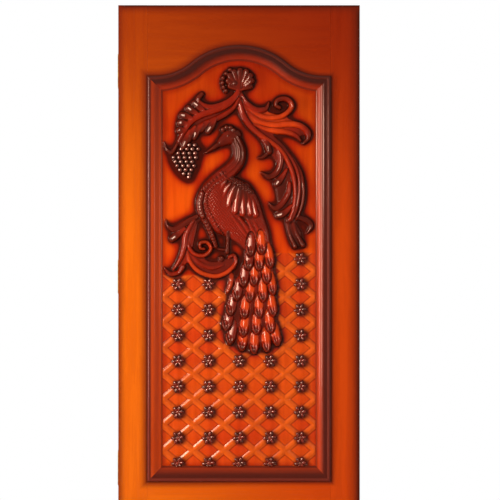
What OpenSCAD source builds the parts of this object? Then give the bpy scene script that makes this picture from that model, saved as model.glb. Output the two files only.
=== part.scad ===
// Carved wooden door leaf on three brass butt hinges.
// X runs across the leaf to the right, Y from the carved face to the back, Z up from the foot of the leaf.
// Sizes are in millimetres, and the leaf is shown closed.

/* [Leaf] */
// Width of the leaf
leaf_w = 914; // [860:1:980]
// Height of the leaf
leaf_h = 2057; // [1980:1:2140]
// Thickness of the stiles and rails
leaf_t = 40; // [38:0.5:46]
// Width of each stile
stile_w = 110; // [95:1:125]
// Height of the bottom rail
bottom_rail_h = 255; // [220:1:290]
// Depth of the top rail where it meets the stiles
top_rail_h = 269; // [240:1:300]

/* [Arch] */
// Rise of the arch above its corners
arch_rise = 116; // [95:1:135]
// Straight shoulder at each corner of the arch
arch_shoulder = 30; // [15:1:45]
// Part of the two arch radii that belongs to the crown
crown_share = 0.57; // [0.5:0.01:0.65]

/* [Joinery] */
// Length of the blind tenons on the rails
tenon_l = 62; // [45:1:75]
// Thickness of the tenons
tenon_t = 13; // [11:0.5:15]
// Height of the tenon on the top rail
top_tenon_h = 150; // [110:1:170]
// Distance from the corners of the arch up to the tenon on the top rail
top_tenon_rise = 75; // [60:1:85]
// Height of each of the two tenons on the bottom rail
bottom_tenon_h = 72; // [60:1:85]
// Space between the two tenons on the bottom rail
bottom_tenon_gap = 45; // [30:1:60]
// Clearance on every glued or sliding wood face
wood_gap = 0.2; // [0.1:0.05:0.3]

/* [Panel] */
// Depth of the panel ground below the face of the frame
ground_depth = 14; // [12:0.5:16]
// Thickness of the panel behind its ground
panel_t = 18; // [16:0.5:19]
// Thickness of the tongue round the panel
tongue_t = 12; // [10:0.5:13]
// Depth of the groove that holds the tongue
groove_depth = 13; // [10:0.5:16]
// Room left for the panel to swell in its groove
swell_gap = 0.8; // [0.4:0.1:0.9]

/* [Moulding] */
// Width of the moulding from the frame to the field
moulding_w = 56.5; // [48:0.5:62]
// Height of the bead above the face of the frame
bead_h = 12; // [10:0.5:14]
// Radius of the bead
bead_r = 4; // [3:0.5:5]
// Width of the flat edge next to the field
fillet_w = 6; // [4:0.5:8]
// Thickness of the flat edge next to the field
fillet_t = 2.5; // [2:0.25:4]
// Height of the outer edge of the moulding above the face of the frame
moulding_edge_h = 1; // [0.5:0.25:2]
// Width of the quirk between the bead and the hollow
quirk_w = 1; // [0.5:0.25:2]
// Width of the bead round the back of the panel
back_bead_w = 9; // [7:0.5:12]
// Height of the rounded part of that bead
back_bead_h = 3.8; // [3:0.1:4]

/* [Carving] */
// Height of the carving above the ground
relief_h = 22; // [18:0.5:25]
// Height of the lattice ribs above the ground
rib_h = 5; // [3.5:0.5:6.5]
// Width of the lattice ribs
rib_w = 22; // [18:1:26]
// Radius of a lattice flower
flower_r = 27; // [22:0.5:30]

/* [Hinges] */
// Height of each hinge
hinge_h = 125; // [115:1:140]
// Distance from the top of the leaf to the middle of the top hinge
top_hinge_drop = 245; // [200:1:280]
// Distance from the foot of the leaf to the middle of the bottom hinge
bottom_hinge_rise = 300; // [260:1:340]
// Thickness of a hinge plate
plate_t = 2.5; // [2:0.25:3]
// Width of a hinge plate in from the back of the leaf
plate_w = 24; // [22:0.5:30]
// Space between the two plates when the leaf is closed
plate_gap = 1.2; // [0.8:0.1:2]
// Outer radius of the knuckles
knuckle_r = 6; // [5.5:0.25:7]
// Number of knuckles on one hinge
knuckles = 5; // [3:2:7]
// Space between neighbouring knuckles
knuckle_gap = 0.3; // [0.2:0.05:0.5]
// Radius of a hinge pin
pin_r = 3.2; // [2.8:0.1:3.6]
// Radial clearance of a pin in its knuckles
pin_play = 0.05; // [0.03:0.01:0.08]
// Height of the button on each end of a pin
pin_button_h = 3; // [2:0.5:5]
// Radius of a screw shank
screw_r = 2.1; // [1.8:0.1:2.3]
// Length of a screw
screw_l = 32; // [25:1:38]
// Radius of a screw head
screw_head_r = 4.2; // [3.8:0.1:4.8]
// Radius of the screw holes in the plates
screw_hole_r = 2.4; // [2.35:0.05:2.8]
// Spacing of the two outer screws along a plate
outer_screw_pitch = 80; // [72:1:84]
// Spacing of the two inner screws along a plate
inner_screw_pitch = 36; // [26:1:44]
// Distance of the outer screws from the front edge of a plate
outer_screw_in = 6.5; // [6:0.25:8]
// Distance of the inner screws from the back of the leaf
inner_screw_in = 7; // [6:0.25:8]
// Rise of the jamb plate's screws above those of the door plate, so that their heads don't meet
jamb_screw_rise = 9; // [9:0.5:10]
// Thickness of plate left below a screw head
sink_land = 0.9; // [0.8:0.05:1]

/* [Hidden] */
$fn = 48;

// Colours
wood = [0.72, 0.29, 0.06];
carved_wood = [0.55, 0.15, 0.05];
brass = [0.62, 0.47, 0.2];
steel = [0.45, 0.43, 0.4];

// Opening of the frame
half_w = leaf_w / 2 - stile_w;
foot_y = bottom_rail_h;
corner_y = leaf_h - top_rail_h;
shoulder_x = half_w - arch_shoulder;
radius_sum = (shoulder_x * shoulder_x + arch_rise * arch_rise) / (2 * arch_rise);
crown_r = crown_share * radius_sum;
side_r = radius_sum - crown_r;
crown_y = corner_y + arch_rise - crown_r;
side_y = corner_y + side_r;
arch_turn = asin(shoulder_x / radius_sum);
arch_step = 5;

// Levels through the leaf, counted towards the front from the middle of its thickness
face_z = leaf_t / 2;
ground_z = face_z - ground_depth;
panel_back_z = ground_z - panel_t;
tongue_z = ground_z - panel_t / 2 - tongue_t / 2;
over = 1;

// Field of the panel inside the moulding
field_half = half_w - moulding_w;
field_foot = foot_y + moulding_w;
field_corner = corner_y - moulding_w;

// Hinges
hinge_levels = [leaf_h - top_hinge_drop, leaf_h / 2, bottom_hinge_rise];
edge_x = -leaf_w / 2;
pin_x = edge_x - plate_gap / 2;
pin_clear = 0.6;
pin_y = leaf_t / 2 + knuckle_r + pin_clear;
knuckle_h = hinge_h / knuckles;
sink_depth = plate_t - sink_land;
sink_taper = (screw_head_r - screw_r) / sink_depth;
seat_gap = 0.1;
screw_seats = [
    [leaf_t / 2 - plate_w + outer_screw_in, outer_screw_pitch / 2],
    [leaf_t / 2 - plate_w + outer_screw_in, -outer_screw_pitch / 2],
    [leaf_t / 2 - inner_screw_in, inner_screw_pitch / 2],
    [leaf_t / 2 - inner_screw_in, -inner_screw_pitch / 2]
];

// Turns a shape drawn with its face upwards to stand as the leaf does, with that face to the front
module stand() {
    rotate([90, 0, 0]) children();
}

// Outline of the frame opening, moved outwards by grow
function arc(mid, r, from, to) =
    let (n = ceil(abs(to - from) / arch_step))
    [for (i = [0 : n]) mid + r * [cos(from + (to - from) * i / n), sin(from + (to - from) * i / n)]];

function without_first(list) = [for (i = [1 : len(list) - 1]) list[i]];

function opening(grow) = concat(
    [[-half_w - grow, foot_y - grow], [half_w + grow, foot_y - grow], [half_w + grow, corner_y + grow]],
    arc([shoulder_x, side_y], side_r - grow, 270, 270 - arch_turn),
    without_first(arc([0, crown_y], crown_r + grow, 90 - arch_turn, 90 + arch_turn)),
    without_first(arc([-shoulder_x, side_y], side_r - grow, 270 + arch_turn, 270)),
    [[-half_w - grow, corner_y + grow]]
);

module slab(outline, from_z, to_z) {
    translate([0, 0, from_z])
        linear_extrude(to_z - from_z) polygon(outline);
}

module block(low, high) {
    translate(low) cube(high - low);
}

// Frame
module panel_groove() {
    slab(opening(groove_depth), tongue_z - wood_gap, tongue_z + tongue_t + wood_gap);
}

function top_tenon() = [corner_y + top_tenon_rise, corner_y + top_tenon_rise + top_tenon_h];
function lower_tenon() = [foot_y / 2 - bottom_tenon_gap / 2 - bottom_tenon_h, foot_y / 2 - bottom_tenon_gap / 2];
function upper_tenon() = [foot_y / 2 + bottom_tenon_gap / 2, foot_y / 2 + bottom_tenon_gap / 2 + bottom_tenon_h];
tenon_levels = [top_tenon(), lower_tenon(), upper_tenon()];

// A tenon on one side of a rail, or with grow its mortise in the stile
module tenon(levels, side, grow) {
    near = half_w - over;
    far = half_w + tenon_l - wood_gap + 2 * grow;
    x = side < 0 ? [-far, -near] : [near, far];
    block([x[0], levels[0] - grow, -tenon_t / 2 - grow], [x[1], levels[1] + grow, tenon_t / 2 + grow]);
}

module stile(side) {
    x = side < 0 ? [-leaf_w / 2, -half_w] : [half_w, leaf_w / 2];
    difference() {
        block([x[0], 0, -leaf_t / 2], [x[1], leaf_h, leaf_t / 2]);
        panel_groove();
        for (levels = tenon_levels) tenon(levels, side, wood_gap);
    }
}

module lock_stile() {
    color(wood) stand() stile(1);
}

module hinge_stile() {
    color(wood) difference() {
        stand() stile(-1);
        for (level = hinge_levels) hinge_gain(level);
    }
}

// Recess and pilot holes for one hinge plate in the edge of the stile
module hinge_gain(level) {
    low = [edge_x - over, leaf_t / 2 - plate_w - seat_gap, level - hinge_h / 2 - seat_gap];
    high = [edge_x + plate_t + seat_gap, leaf_t / 2 + over, level + hinge_h / 2 + seat_gap];
    block(low, high);
    for (seat = screw_seats)
        translate([edge_x, seat[0], level + seat[1]]) rotate([0, 90, 0])
            cylinder(r = screw_r + seat_gap, h = screw_l + over);
}

module bottom_rail() {
    color(wood) stand() {
        difference() {
            block(
                [-half_w + wood_gap, 0, -leaf_t / 2],
                [half_w - wood_gap, foot_y, leaf_t / 2]
            );
            panel_groove();
        }
        for (side = [-1, 1]) {
            tenon(lower_tenon(), side, 0);
            tenon(upper_tenon(), side, 0);
        }
    }
}

module top_rail() {
    color(wood) stand() {
        difference() {
            block(
                [-half_w + wood_gap, corner_y, -leaf_t / 2],
                [half_w - wood_gap, leaf_h, leaf_t / 2]
            );
            slab(opening(0), -leaf_t, leaf_t);
            panel_groove();
        }
        for (side = [-1, 1]) tenon(top_tenon(), side, 0);
    }
}

// Moulding between the frame and the field, as [distance in from the frame, level]
bead_top = face_z + bead_h;
bead_mid = [2 * bead_r, bead_top - bead_r];
cove_foot = [moulding_w - fillet_w, ground_z + wood_gap + fillet_t * 2];
function quarter_wave(t) = (1 - cos(180 * t)) / 2;
moulding_profile = concat(
    [
        [wood_gap, ground_z + wood_gap],
        [wood_gap, face_z + moulding_edge_h],
        [bead_mid[0] - bead_r, face_z + moulding_edge_h + quirk_w]
    ],
    [for (a = [180 : -30 : 0]) bead_mid + bead_r * [cos(a), sin(a)]],
    [for (t = [0 : 0.125 : 1])
        bead_mid + [bead_r + quirk_w, 0] + [
            t * (cove_foot[0] - bead_mid[0] - bead_r - quirk_w),
            quarter_wave(t) * (cove_foot[1] - bead_mid[1])
        ]],
    [
        cove_foot - [0, fillet_t],
        [moulding_w, ground_z + wood_gap + fillet_t],
        [moulding_w, ground_z + wood_gap]
    ]
);

// Plain bead that covers the joint at the back
back_bead_profile = concat(
    [[wood_gap, panel_back_z - wood_gap], [wood_gap, -face_z + over]],
    [for (a = [250 : 20 : 350])
        [back_bead_w / 2, -face_z + back_bead_h + wood_gap] + [cos(a) * back_bead_w / 2, sin(a) * back_bead_h]],
    [[back_bead_w, panel_back_z - wood_gap]]
);

// Straight length of an edging along the left side of the opening, mitred at both ends
module left_run(profile, width) {
    mitre = wood_gap;
    intersection() {
        translate([-half_w, corner_y, 0]) rotate([90, 0, 0])
            linear_extrude(corner_y - foot_y) polygon(profile);
        slab(
            [
                [-half_w, foot_y + mitre],
                [-half_w + width + over, foot_y + width + over + mitre],
                [-half_w + width + over, corner_y - width - over - mitre],
                [-half_w, corner_y - mitre]
            ],
            -leaf_t, leaf_t
        );
    }
}

module bottom_run(profile, width) {
    intersection() {
        translate([half_w, foot_y, 0]) rotate([90, 0, 90]) mirror([0, 0, 1])
            linear_extrude(2 * half_w) polygon(profile);
        slab(
            [
                [-half_w, foot_y],
                [half_w, foot_y],
                [half_w - width - over, foot_y + width + over],
                [-half_w + width + over, foot_y + width + over]
            ],
            -leaf_t, leaf_t
        );
    }
}

// Edging along the arch, swept over its two shoulders, hollow sides and crown, mitred at both ends
function arch_line(u) = concat(
    [[half_w + over, corner_y - u]],
    arc([shoulder_x, side_y], side_r + u, 270, 270 - arch_turn),
    without_first(arc([0, crown_y], crown_r - u, 90 - arch_turn, 90 + arch_turn)),
    without_first(arc([-shoulder_x, side_y], side_r + u, 270 + arch_turn, 270)),
    [[-half_w - over, corner_y - u]]
);

module arch_run(profile, width) {
    lines = [for (p = profile) arch_line(p[0])];
    n = len(profile);
    last = len(lines[0]) - 1;
    corners = [for (i = [0 : last], j = [0 : n - 1]) [lines[j][i][0], lines[j][i][1], profile[j][1]]];
    sides = [
        for (i = [0 : last - 1], j = [0 : n - 1])
            let (a = n * i + j, b = n * i + (j + 1) % n)
            for (t = [[a, b + n, b], [a, a + n, b + n]]) t
    ];
    ends = [[for (j = [0 : n - 1]) j], [for (j = [n - 1 : -1 : 0]) n * last + j]];
    difference() {
        polyhedron(corners, concat(sides, ends));
        for (side = [0, 1]) mirror([side, 0, 0])
            slab(
                [
                    [half_w + 2 * over, corner_y + 2 * over],
                    [half_w + 2 * over, corner_y - width - 2 * over],
                    [half_w - width - 2 * over, corner_y - width - 2 * over]
                ],
                -leaf_t, leaf_t
            );
    }
}

module moulding_left() {
    color(wood) stand() left_run(moulding_profile, moulding_w);
}

module moulding_right() {
    color(wood) stand() mirror([1, 0, 0]) left_run(moulding_profile, moulding_w);
}

module moulding_bottom() {
    color(wood) stand() bottom_run(moulding_profile, moulding_w);
}

module moulding_arch() {
    color(wood) stand() arch_run(moulding_profile, moulding_w);
}

module back_bead_left() {
    color(wood) stand() left_run(back_bead_profile, back_bead_w);
}

module back_bead_right() {
    color(wood) stand() mirror([1, 0, 0]) left_run(back_bead_profile, back_bead_w);
}

module back_bead_bottom() {
    color(wood) stand() bottom_run(back_bead_profile, back_bead_w);
}

module back_bead_arch() {
    color(wood) stand() arch_run(back_bead_profile, back_bead_w);
}

// The carving is drawn on a grid, x to the right and y down, that stretches with the field of the panel.
// Grid line foot_line lies on the foot of the field and corner_line on its upper corners.
mid_line = 235.25;
side_line = 312;
foot_line = 463;
corner_line = 87.8;
unit_x = field_half / (side_line - mid_line);
unit_y = (field_corner - field_foot) / (foot_line - corner_line);
unit = min(unit_x, unit_y);

function at(p) = [(p[0] - mid_line) * unit_x, field_foot + (foot_line - p[1]) * unit_y];

// Value at t from a list that runs evenly from 0 to 1
function along(list, t) =
    let (last = len(list) - 1, i = min(floor(t * last), last - 1), f = t * last - i)
    list[i] * (1 - f) + list[i + 1] * f;

// Smooth curve through the points of a stroke
function knot(p, i) = p[min(max(i, 0), len(p) - 1)];
function curve(p, i, f) =
    let (a = knot(p, i - 1), b = knot(p, i), c = knot(p, i + 1), d = knot(p, i + 2))
    b + f * (c - a) / 2 + f * f * (a - 2.5 * b + 2 * c - d / 2) + f * f * f * (1.5 * b - 1.5 * c + d / 2 - a / 2);
function trace(p, steps) = concat(
    [for (i = [0 : len(p) - 2], j = [0 : steps - 1]) curve(p, i, j / steps)],
    [p[len(p) - 1]]
);
function side_of(path, i) =
    let (d = path[min(i + 1, len(path) - 1)] - path[max(i - 1, 0)])
    [-d[1], d[0]] / norm(d);

// Sections of a ridge, as [part of its half width, part of its height], between its two feet
round_section = [[-0.72, 0.62], [0, 1], [0.72, 0.62]];
flat_section = [[-0.5, 0.88], [0.5, 0.88]];
keel_section = [[0, 1]];

// Ridge along a stroke, with half widths in grid units and heights as parts of relief_h
module ridge(points, widths, heights, section) {
    steps = len(points) > 4 || len(section) == 1 ? 1 : 2;
    path = [for (p = trace(points, steps)) at(p)];
    last = len(path) - 1;
    n = len(section) + 2;
    corners = [
        for (i = [0 : last])
            let (out = side_of(path, i) * along(widths, i / last) * unit, h = along(heights, i / last) * relief_h)
            for (s = concat([[-1, 0]], [for (c = section) [c[0], c[1] * h]], [[1, 0]]))
                [path[i][0] + out[0] * s[0], path[i][1] + out[1] * s[0], s[1]]
    ];
    sides = [
        for (i = [0 : last - 1], j = [0 : n - 1])
            let (a = n * i + j, b = n * i + (j + 1) % n)
            for (t = [[a, b, b + n], [a, b + n, a + n]]) t
    ];
    ends = [[for (j = [n - 1 : -1 : 0]) j], [for (j = [0 : n - 1]) n * last + j]];
    translate([0, 0, ground_z]) polyhedron(corners, concat(sides, ends));
}

module ridges(strokes, section) {
    for (s = strokes) ridge(s[0], s[1], s[2], section);
}

// Rounded knob, such as a grape or the rolled tip of a leaf
module knob(p, r, h, sides = 6) {
    shoulder = 0.5;
    top = 0.55;
    translate([at(p)[0], at(p)[1], ground_z])
        hull() {
            cylinder(r = r * unit, h = shoulder * h * relief_h, $fn = sides);
            cylinder(r = top * r * unit, h = h * relief_h, $fn = sides);
        }
}

module knobs(places, r, h) {
    for (p = places) knob(p, r, h);
}

// Shell and double volute at the head of the carving
shell_boss = [233.5, 77.5];
shell_boss_r = 13.5;
shell_bead_r = 3.2;
shell_beads = [[228.5, 66.5], [223, 71], [219.5, 77], [219.5, 83], [222.5, 88.5], [239, 66.5], [245.5, 72]];
shell_strokes = [
    [
        [[237, 90], [244, 86], [246, 79], [242, 72], [234, 70], [227, 74], [226, 81], [231, 84]],
        [1.8, 3, 2.4], [0.55, 0.8, 0.9]
    ]
];

// Leaf to the left of the shell
left_leaf = [
    [
        [[234, 88], [230, 97], [222, 104], [212, 110], [203, 114.5], [195, 117], [188, 120], [182, 125],
            [176, 135], [171, 146]],
        [2.6, 3.6, 3.4, 1.6], [0.6, 0.8, 0.75, 0.5]
    ],
    [[[172, 143], [167, 148], [160, 143]], [1.6, 2.2, 0.6], [0.5, 0.5, 0.3]],
    [[[229, 98], [216, 103], [206, 106], [197, 103], [193, 96], [198, 90]], [1.6, 2.8, 2.2], [0.5, 0.75, 0.8]],
    [[[202, 114], [196, 107], [190, 100]], [1.6, 3.2, 2], [0.5, 0.6, 0.7]],
    [[[196, 117], [190, 110], [183, 104]], [1.6, 3.2, 2], [0.5, 0.6, 0.7]],
    [[[190, 119], [184, 115], [177, 110]], [1.6, 3.2, 2], [0.5, 0.6, 0.7]],
    [[[184, 124], [180, 122], [175, 120.5]], [1.6, 3, 2], [0.5, 0.55, 0.6]],
    [[[207, 113], [209, 121], [204, 127]], [1.6, 3, 1.8], [0.55, 0.6, 0.65]],
    [[[199, 116], [202, 120], [197, 124]], [1.6, 2.6, 1.8], [0.55, 0.6, 0.65]],
    [[[189, 120], [194, 127], [189, 132.5]], [1.6, 3, 1.8], [0.55, 0.6, 0.65]],
    [[[178, 133], [183, 137], [180.5, 143]], [1.6, 2.8, 1.6], [0.5, 0.55, 0.6]]
];

// Leaf to the right of the shell, running down beside the bird
leaf_knot = [285, 217];
leaf_knot_r = 4;
right_leaf = [
    [
        [[236, 86], [235.5, 100], [239, 113], [250, 124], [258, 131], [265, 139], [271, 147], [276, 155]],
        [2.4, 3.6, 3.2, 2.6], [0.6, 0.75, 0.75, 0.7]
    ],
    [[[236.5, 88], [239, 95], [247, 105], [256, 110]], [1.6, 2.4, 1.6], [0.55, 0.65, 0.6]],
    [[[243, 100], [252, 103], [262, 103], [264.5, 98]], [1.4, 2.8, 1], [0.5, 0.6, 0.6]],
    [
        [[250, 107], [258, 112.5], [268, 114.5], [278, 113], [285, 109], [288, 103], [285, 97], [279, 94.5],
            [273, 96], [271, 101], [275, 104.5]],
        [1.8, 3, 2.6, 1.6], [0.5, 0.75, 0.85, 0.9]
    ],
    [
        [[250, 114], [260, 119], [272, 121], [283, 119], [293, 118], [301, 121], [306, 130], [302, 138]],
        [1.8, 3.2, 3.2, 1], [0.5, 0.75, 0.7, 0.5]
    ],
    [[[263, 124], [275, 127], [286, 127], [293, 130], [295, 136]], [1.4, 2.8, 1.4], [0.4, 0.55, 0.45]],
    [[[268, 140], [281, 150], [287, 168], [287, 185], [283, 197]], [1.8, 2.4, 1.4], [0.6, 0.8, 0.5]],
    [[[276, 143], [288, 161], [292, 180], [289, 200], [285, 216]], [1.5, 2.5, 2], [0.55, 0.8, 0.7]],
    [[[284, 148], [295, 166], [298.5, 184], [297, 200], [291, 216]], [1.2, 2.4, 1.5], [0.45, 0.65, 0.55]],
    [[[255, 129], [261, 135], [267, 144], [263, 151]], [1.4, 2.6, 1.6], [0.5, 0.65, 0.7]],
    [[[276, 154], [277, 163], [269, 171], [257, 167]], [2, 3, 1], [0.6, 0.7, 0.6]],
    [[[286, 166], [281, 176], [272, 182]], [1.6, 3.2, 2.2], [0.55, 0.65, 0.7]],
    [[[287, 179], [281, 192], [272, 199.5], [263, 199]], [1.6, 3, 1.1], [0.55, 0.7, 0.6]],
    [[[288, 197], [282, 207], [273, 212.5]], [1.6, 3.2, 2.2], [0.5, 0.65, 0.7]],
    [[[283, 216], [285, 231], [291, 243]], [1.8, 2.2, 1.8], [0.6, 0.55, 0.5]],
    [[[287, 218], [290, 229], [299, 242]], [1.6, 2, 1.8], [0.6, 0.55, 0.5]],
    [[[292, 211], [305, 217], [306, 227], [300, 238]], [1.8, 3, 0.8], [0.5, 0.5, 0.35]]
];

// Leaves and scrolls below the breast of the bird
lower_leaf = [
    [[[198, 211], [188, 214], [176, 218], [165, 216]], [1.8, 3.4, 1.4], [0.6, 0.65, 0.5]],
    [[[166, 216], [161.5, 221], [166, 228], [175, 227]], [1.4, 2.4, 1.2], [0.5, 0.6, 0.5]],
    [[[184, 224], [176, 230], [167, 235.5]], [1.6, 3.2, 2], [0.5, 0.6, 0.65]],
    [[[197, 213], [186, 222], [180.5, 233], [183, 248]], [1.8, 2.8, 2], [0.7, 0.75, 0.6]],
    [[[193, 218], [188, 226], [187, 239], [184, 249]], [1.4, 2.2, 1.4], [0.6, 0.65, 0.55]],
    [[[181, 231], [177.5, 247], [172, 265]], [1.6, 2.6, 1.6], [0.6, 0.65, 0.5]],
    [
        [[183, 247], [190, 252.5], [198, 252.5], [203, 247], [201.5, 240], [196, 238.5], [194.5, 243.5]],
        [1.8, 2.4, 1.5], [0.55, 0.75, 0.85]
    ],
    [[[159.5, 264], [165, 270], [173, 271], [181, 266]], [0.8, 2.8, 1.8], [0.35, 0.5, 0.5]],
    [
        [[181, 249], [185, 259], [192, 268], [203, 274], [216, 275], [226, 270.5], [231.5, 260]],
        [1.8, 3, 2.6, 1.4], [0.55, 0.7, 0.65, 0.5]
    ],
    [[[229, 264], [225, 256], [218, 255.5], [217, 262]], [1.4, 2.2, 1.4], [0.5, 0.6, 0.65]],
    [[[187, 251], [196, 261], [208, 266], [221, 263]], [1.4, 3.4, 1.2], [0.35, 0.45, 0.35]]
];

// Bunch of grapes, in rows from the top: [y, first x, number of grapes]
bunch = [182, 157];
bunch_r = 12;
grape_r = 2.9;
grape_step = 5.7;
grape_rows = [[146, 184, 3], [151, 170, 5], [156, 173, 4], [161, 171, 4], [166, 176, 3], [171, 181.5, 2]];
grapes = concat(
    [for (row = grape_rows, i = [0 : row[2] - 1]) [row[1] + i * grape_step, row[0]]],
    [[186.5, 175]]
);

// Bird, from the crest on its head to its feet
bird = [
    [[[232, 130], [225, 133.5], [216, 139.5]], [5.5, 7.5, 3.8], [0.75, 0.95, 0.75]],
    [[[218, 138.5], [209, 144.5], [200.5, 150]], [3.4, 2.4, 0.6], [0.75, 0.65, 0.4]],
    [[[230, 134], [234, 146], [232, 160], [222, 173]], [5.5, 6.2, 7.5, 10], [0.85, 0.85, 0.85, 0.8]],
    [
        [[223, 170], [219, 184], [222, 200], [230, 215], [241, 231], [253, 248]],
        [9, 20, 27, 24, 16, 11], [0.75, 0.75, 0.78, 0.72, 0.62, 0.55]
    ],
    [
        [[217, 170], [206, 181], [199, 190], [197, 200], [199, 208], [205, 221], [212, 237], [211, 245]],
        [2.2, 2.6, 2.4, 1.4], [0.8, 0.7, 0.65, 0.4]
    ],
    [[[216, 168], [221, 174], [229, 178]], [1.2, 1.6, 1.2], [0.85, 0.95, 0.85]],
    [[[227, 177], [238, 183], [249, 191]], [2.6, 4.2, 2.6], [0.85, 0.98, 0.8]],
    [[[224, 230], [224.5, 240], [224, 249]], [2.6, 2, 2.2], [0.5, 0.45, 0.4]],
    [[[225, 247], [217, 246], [210, 243.5]], [1.8, 1.6, 0.8], [0.35, 0.35, 0.25]],
    [[[237, 230], [238, 236], [236, 243]], [2.4, 2, 1.2], [0.5, 0.4, 0.3]]
];
crest_bead_r = 2.3;
crest_beads = [[219.5, 124.5], [224, 125.5], [228.5, 124], [233, 125.5]];

// Flight feathers, from the shoulder to the tips
wing_roots = [[226, 182], [245, 191]];
wing_tips = [[214.5, 190], [215.5, 198.5], [221, 205], [229, 211.5], [238, 215], [247.5, 215.5]];
wing = [
    for (i = [0 : len(wing_tips) - 1])
        let (a = along(wing_roots, i / (len(wing_tips) - 1)), b = wing_tips[i])
        [[a, (a + b) / 2, b], [1.6, 3.4, 1.4], [0.86, 0.95, 0.84]]
];

// Train of the bird: its middle line, and its feathers in staggered rows as [y, first x, number]
train = [
    [[253, 236], [255, 255], [253, 281], [248, 303], [247.5, 325], [249.5, 340], [252, 350]],
    [10, 14, 17, 22, 27, 23, 9], [0.55, 0.5, 0.48, 0.46, 0.44, 0.4, 0.3]
];
train_mid = 254;
feather_l = 17;
feather_step = 13.4;
feather_lean = 0.12;
feather_rows = [
    [250, 247, 2], [263, 242.5, 3], [280, 238, 3], [296.5, 232, 3], [311, 227, 4], [327, 223.5, 4], [339, 229, 4],
    [347.5, 238, 3]
];
feathers = [
    for (row = feather_rows, i = [0 : row[2] - 1])
        let (tip = [row[1] + i * feather_step, row[0]], root_x = tip[0] + feather_lean * (train_mid - tip[0]))
        [
            [[root_x, tip[1] - feather_l], [(root_x + tip[0]) / 2, tip[1] - feather_l / 2], tip],
            [2.2, 5, 0.9], [0.55, 0.72, 0.76]
        ]
];

// Lattice with a flower on every second crossing; flowers_from gives the first row of each column
flower_step_x = 30.72;
flower_x = mid_line - 2 * flower_step_x;
flower_y = 255.2;
flower_step_y = 25.65;
flower_rows = 9;
flowers_from = [1, 1, 4, 4, 0];

// Corners of a lattice cell, moved inwards by inset
function diamond(p, inset) =
    let (reach = [flower_step_x / 2 * unit_x, flower_step_y / 2 * unit_y])
    let (part = 1 - inset * norm(reach) / (reach[0] * reach[1]))
    [for (d = [[-1, 0], [0, -1], [1, 0], [0, 1]]) at(p) + part * [d[0] * reach[0], d[1] * reach[1]]];

function lattice_cells() = [
    for (row = [0 : 0.5 : flower_rows - 1], column = [-0.5 : 0.5 : 4.5])
        if ((row + column) % 1 != 0)
            [flower_x + column * flower_step_x, flower_y + row * flower_step_y]
];

// True where the lattice shows, clear of the leaves above it and of the train
lattice_top = 272;
right_lattice_from = 272;
right_lattice_top = 246;
train_top = train[0][0][1];
train_foot = train[0][len(train[0]) - 1][1];
train_lap = 6;
foot_lap = 4;

function shows(p) =
    let (t = (p[1] - train_top) / (train_foot - train_top), middle = along([for (q = train[0]) q[0]], t))
    p[1] > (p[0] > right_lattice_from ? right_lattice_top : lattice_top)
    && (p[1] > train_foot - foot_lap || abs(p[0] - middle) > along(train[1], min(t, 1)) - train_lap);

module lattice() {
    cells = [for (p = lattice_cells()) if (shows(p)) p];
    translate([0, 0, ground_z])
        linear_extrude(rib_h)
            intersection() {
                difference() {
                    union() {
                        for (p = cells) polygon(diamond(p, -rib_w / 2));
                    }
                    for (p = cells) polygon(diamond(p, rib_w / 2));
                }
                polygon(opening(-moulding_w - wood_gap));
            }
}

// Six petals that rise to a bead in the middle
module flower(p) {
    petals = 6;
    flower_turn = 24;
    waist_part = 0.5;
    ring_part = 0.24;
    rim_sink = 0.5;
    ring_rise = 2.5;
    peak_rise = 6;
    root_rise = 1;
    n = 2 * petals;
    top = ground_z + rib_h;
    rim = [
        for (i = [0 : n - 1])
            let (r = i % 2 == 0 ? flower_r : flower_r * waist_part, turn = 180 * i / petals + flower_turn)
            [at(p)[0] + r * cos(turn), at(p)[1] + r * sin(turn), top - rim_sink]
    ];
    ring = [
        for (i = [0 : petals - 1])
            let (r = flower_r * ring_part, turn = 360 * i / petals + flower_turn)
            [at(p)[0] + r * cos(turn), at(p)[1] + r * sin(turn), top + ring_rise]
    ];
    peaks = [[at(p)[0], at(p)[1], top + peak_rise], [at(p)[0], at(p)[1], ground_z + root_rise]];
    sides = [
        for (i = [0 : petals - 1])
            let (a = 2 * i, b = 2 * i + 1, c = (2 * i + 2) % n, ra = n + i, rb = n + (i + 1) % petals)
            for (t = [
                [a, ra, b], [b, ra, rb], [b, rb, c], [ra, n + petals, rb],
                [b, n + petals + 1, a], [c, n + petals + 1, b]
            ]) t
    ];
    polyhedron(concat(rim, ring, peaks), sides);
}

module flowers() {
    intersection() {
        union() {
            for (column = [0 : len(flowers_from) - 1], row = [flowers_from[column] : flower_rows - 1])
                flower([flower_x + column * flower_step_x, flower_y + row * flower_step_y]);
        }
        slab(opening(-moulding_w - wood_gap), ground_z - over, ground_z + relief_h);
    }
}

module carved_panel() {
    color(carved_wood) stand() {
        slab(opening(groove_depth - swell_gap), tongue_z, tongue_z + tongue_t);
        slab(opening(-wood_gap), panel_back_z, ground_z);
        lattice();
        flowers();
        knob(shell_boss, shell_boss_r, 0.45, 12);
        knobs(shell_beads, shell_bead_r, 0.7);
        ridges(shell_strokes, flat_section);
        ridges(left_leaf, flat_section);
        ridges(right_leaf, flat_section);
        knob(leaf_knot, leaf_knot_r, 0.75);
        ridges(lower_leaf, flat_section);
        knob(bunch, bunch_r, 0.3, 12);
        knobs(grapes, grape_r, 0.75);
        ridges(bird, round_section);
        knobs(crest_beads, crest_bead_r, 0.85);
        ridges(wing, keel_section);
        ridges([train], round_section);
        ridges(feathers, keel_section);
    }
}

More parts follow.
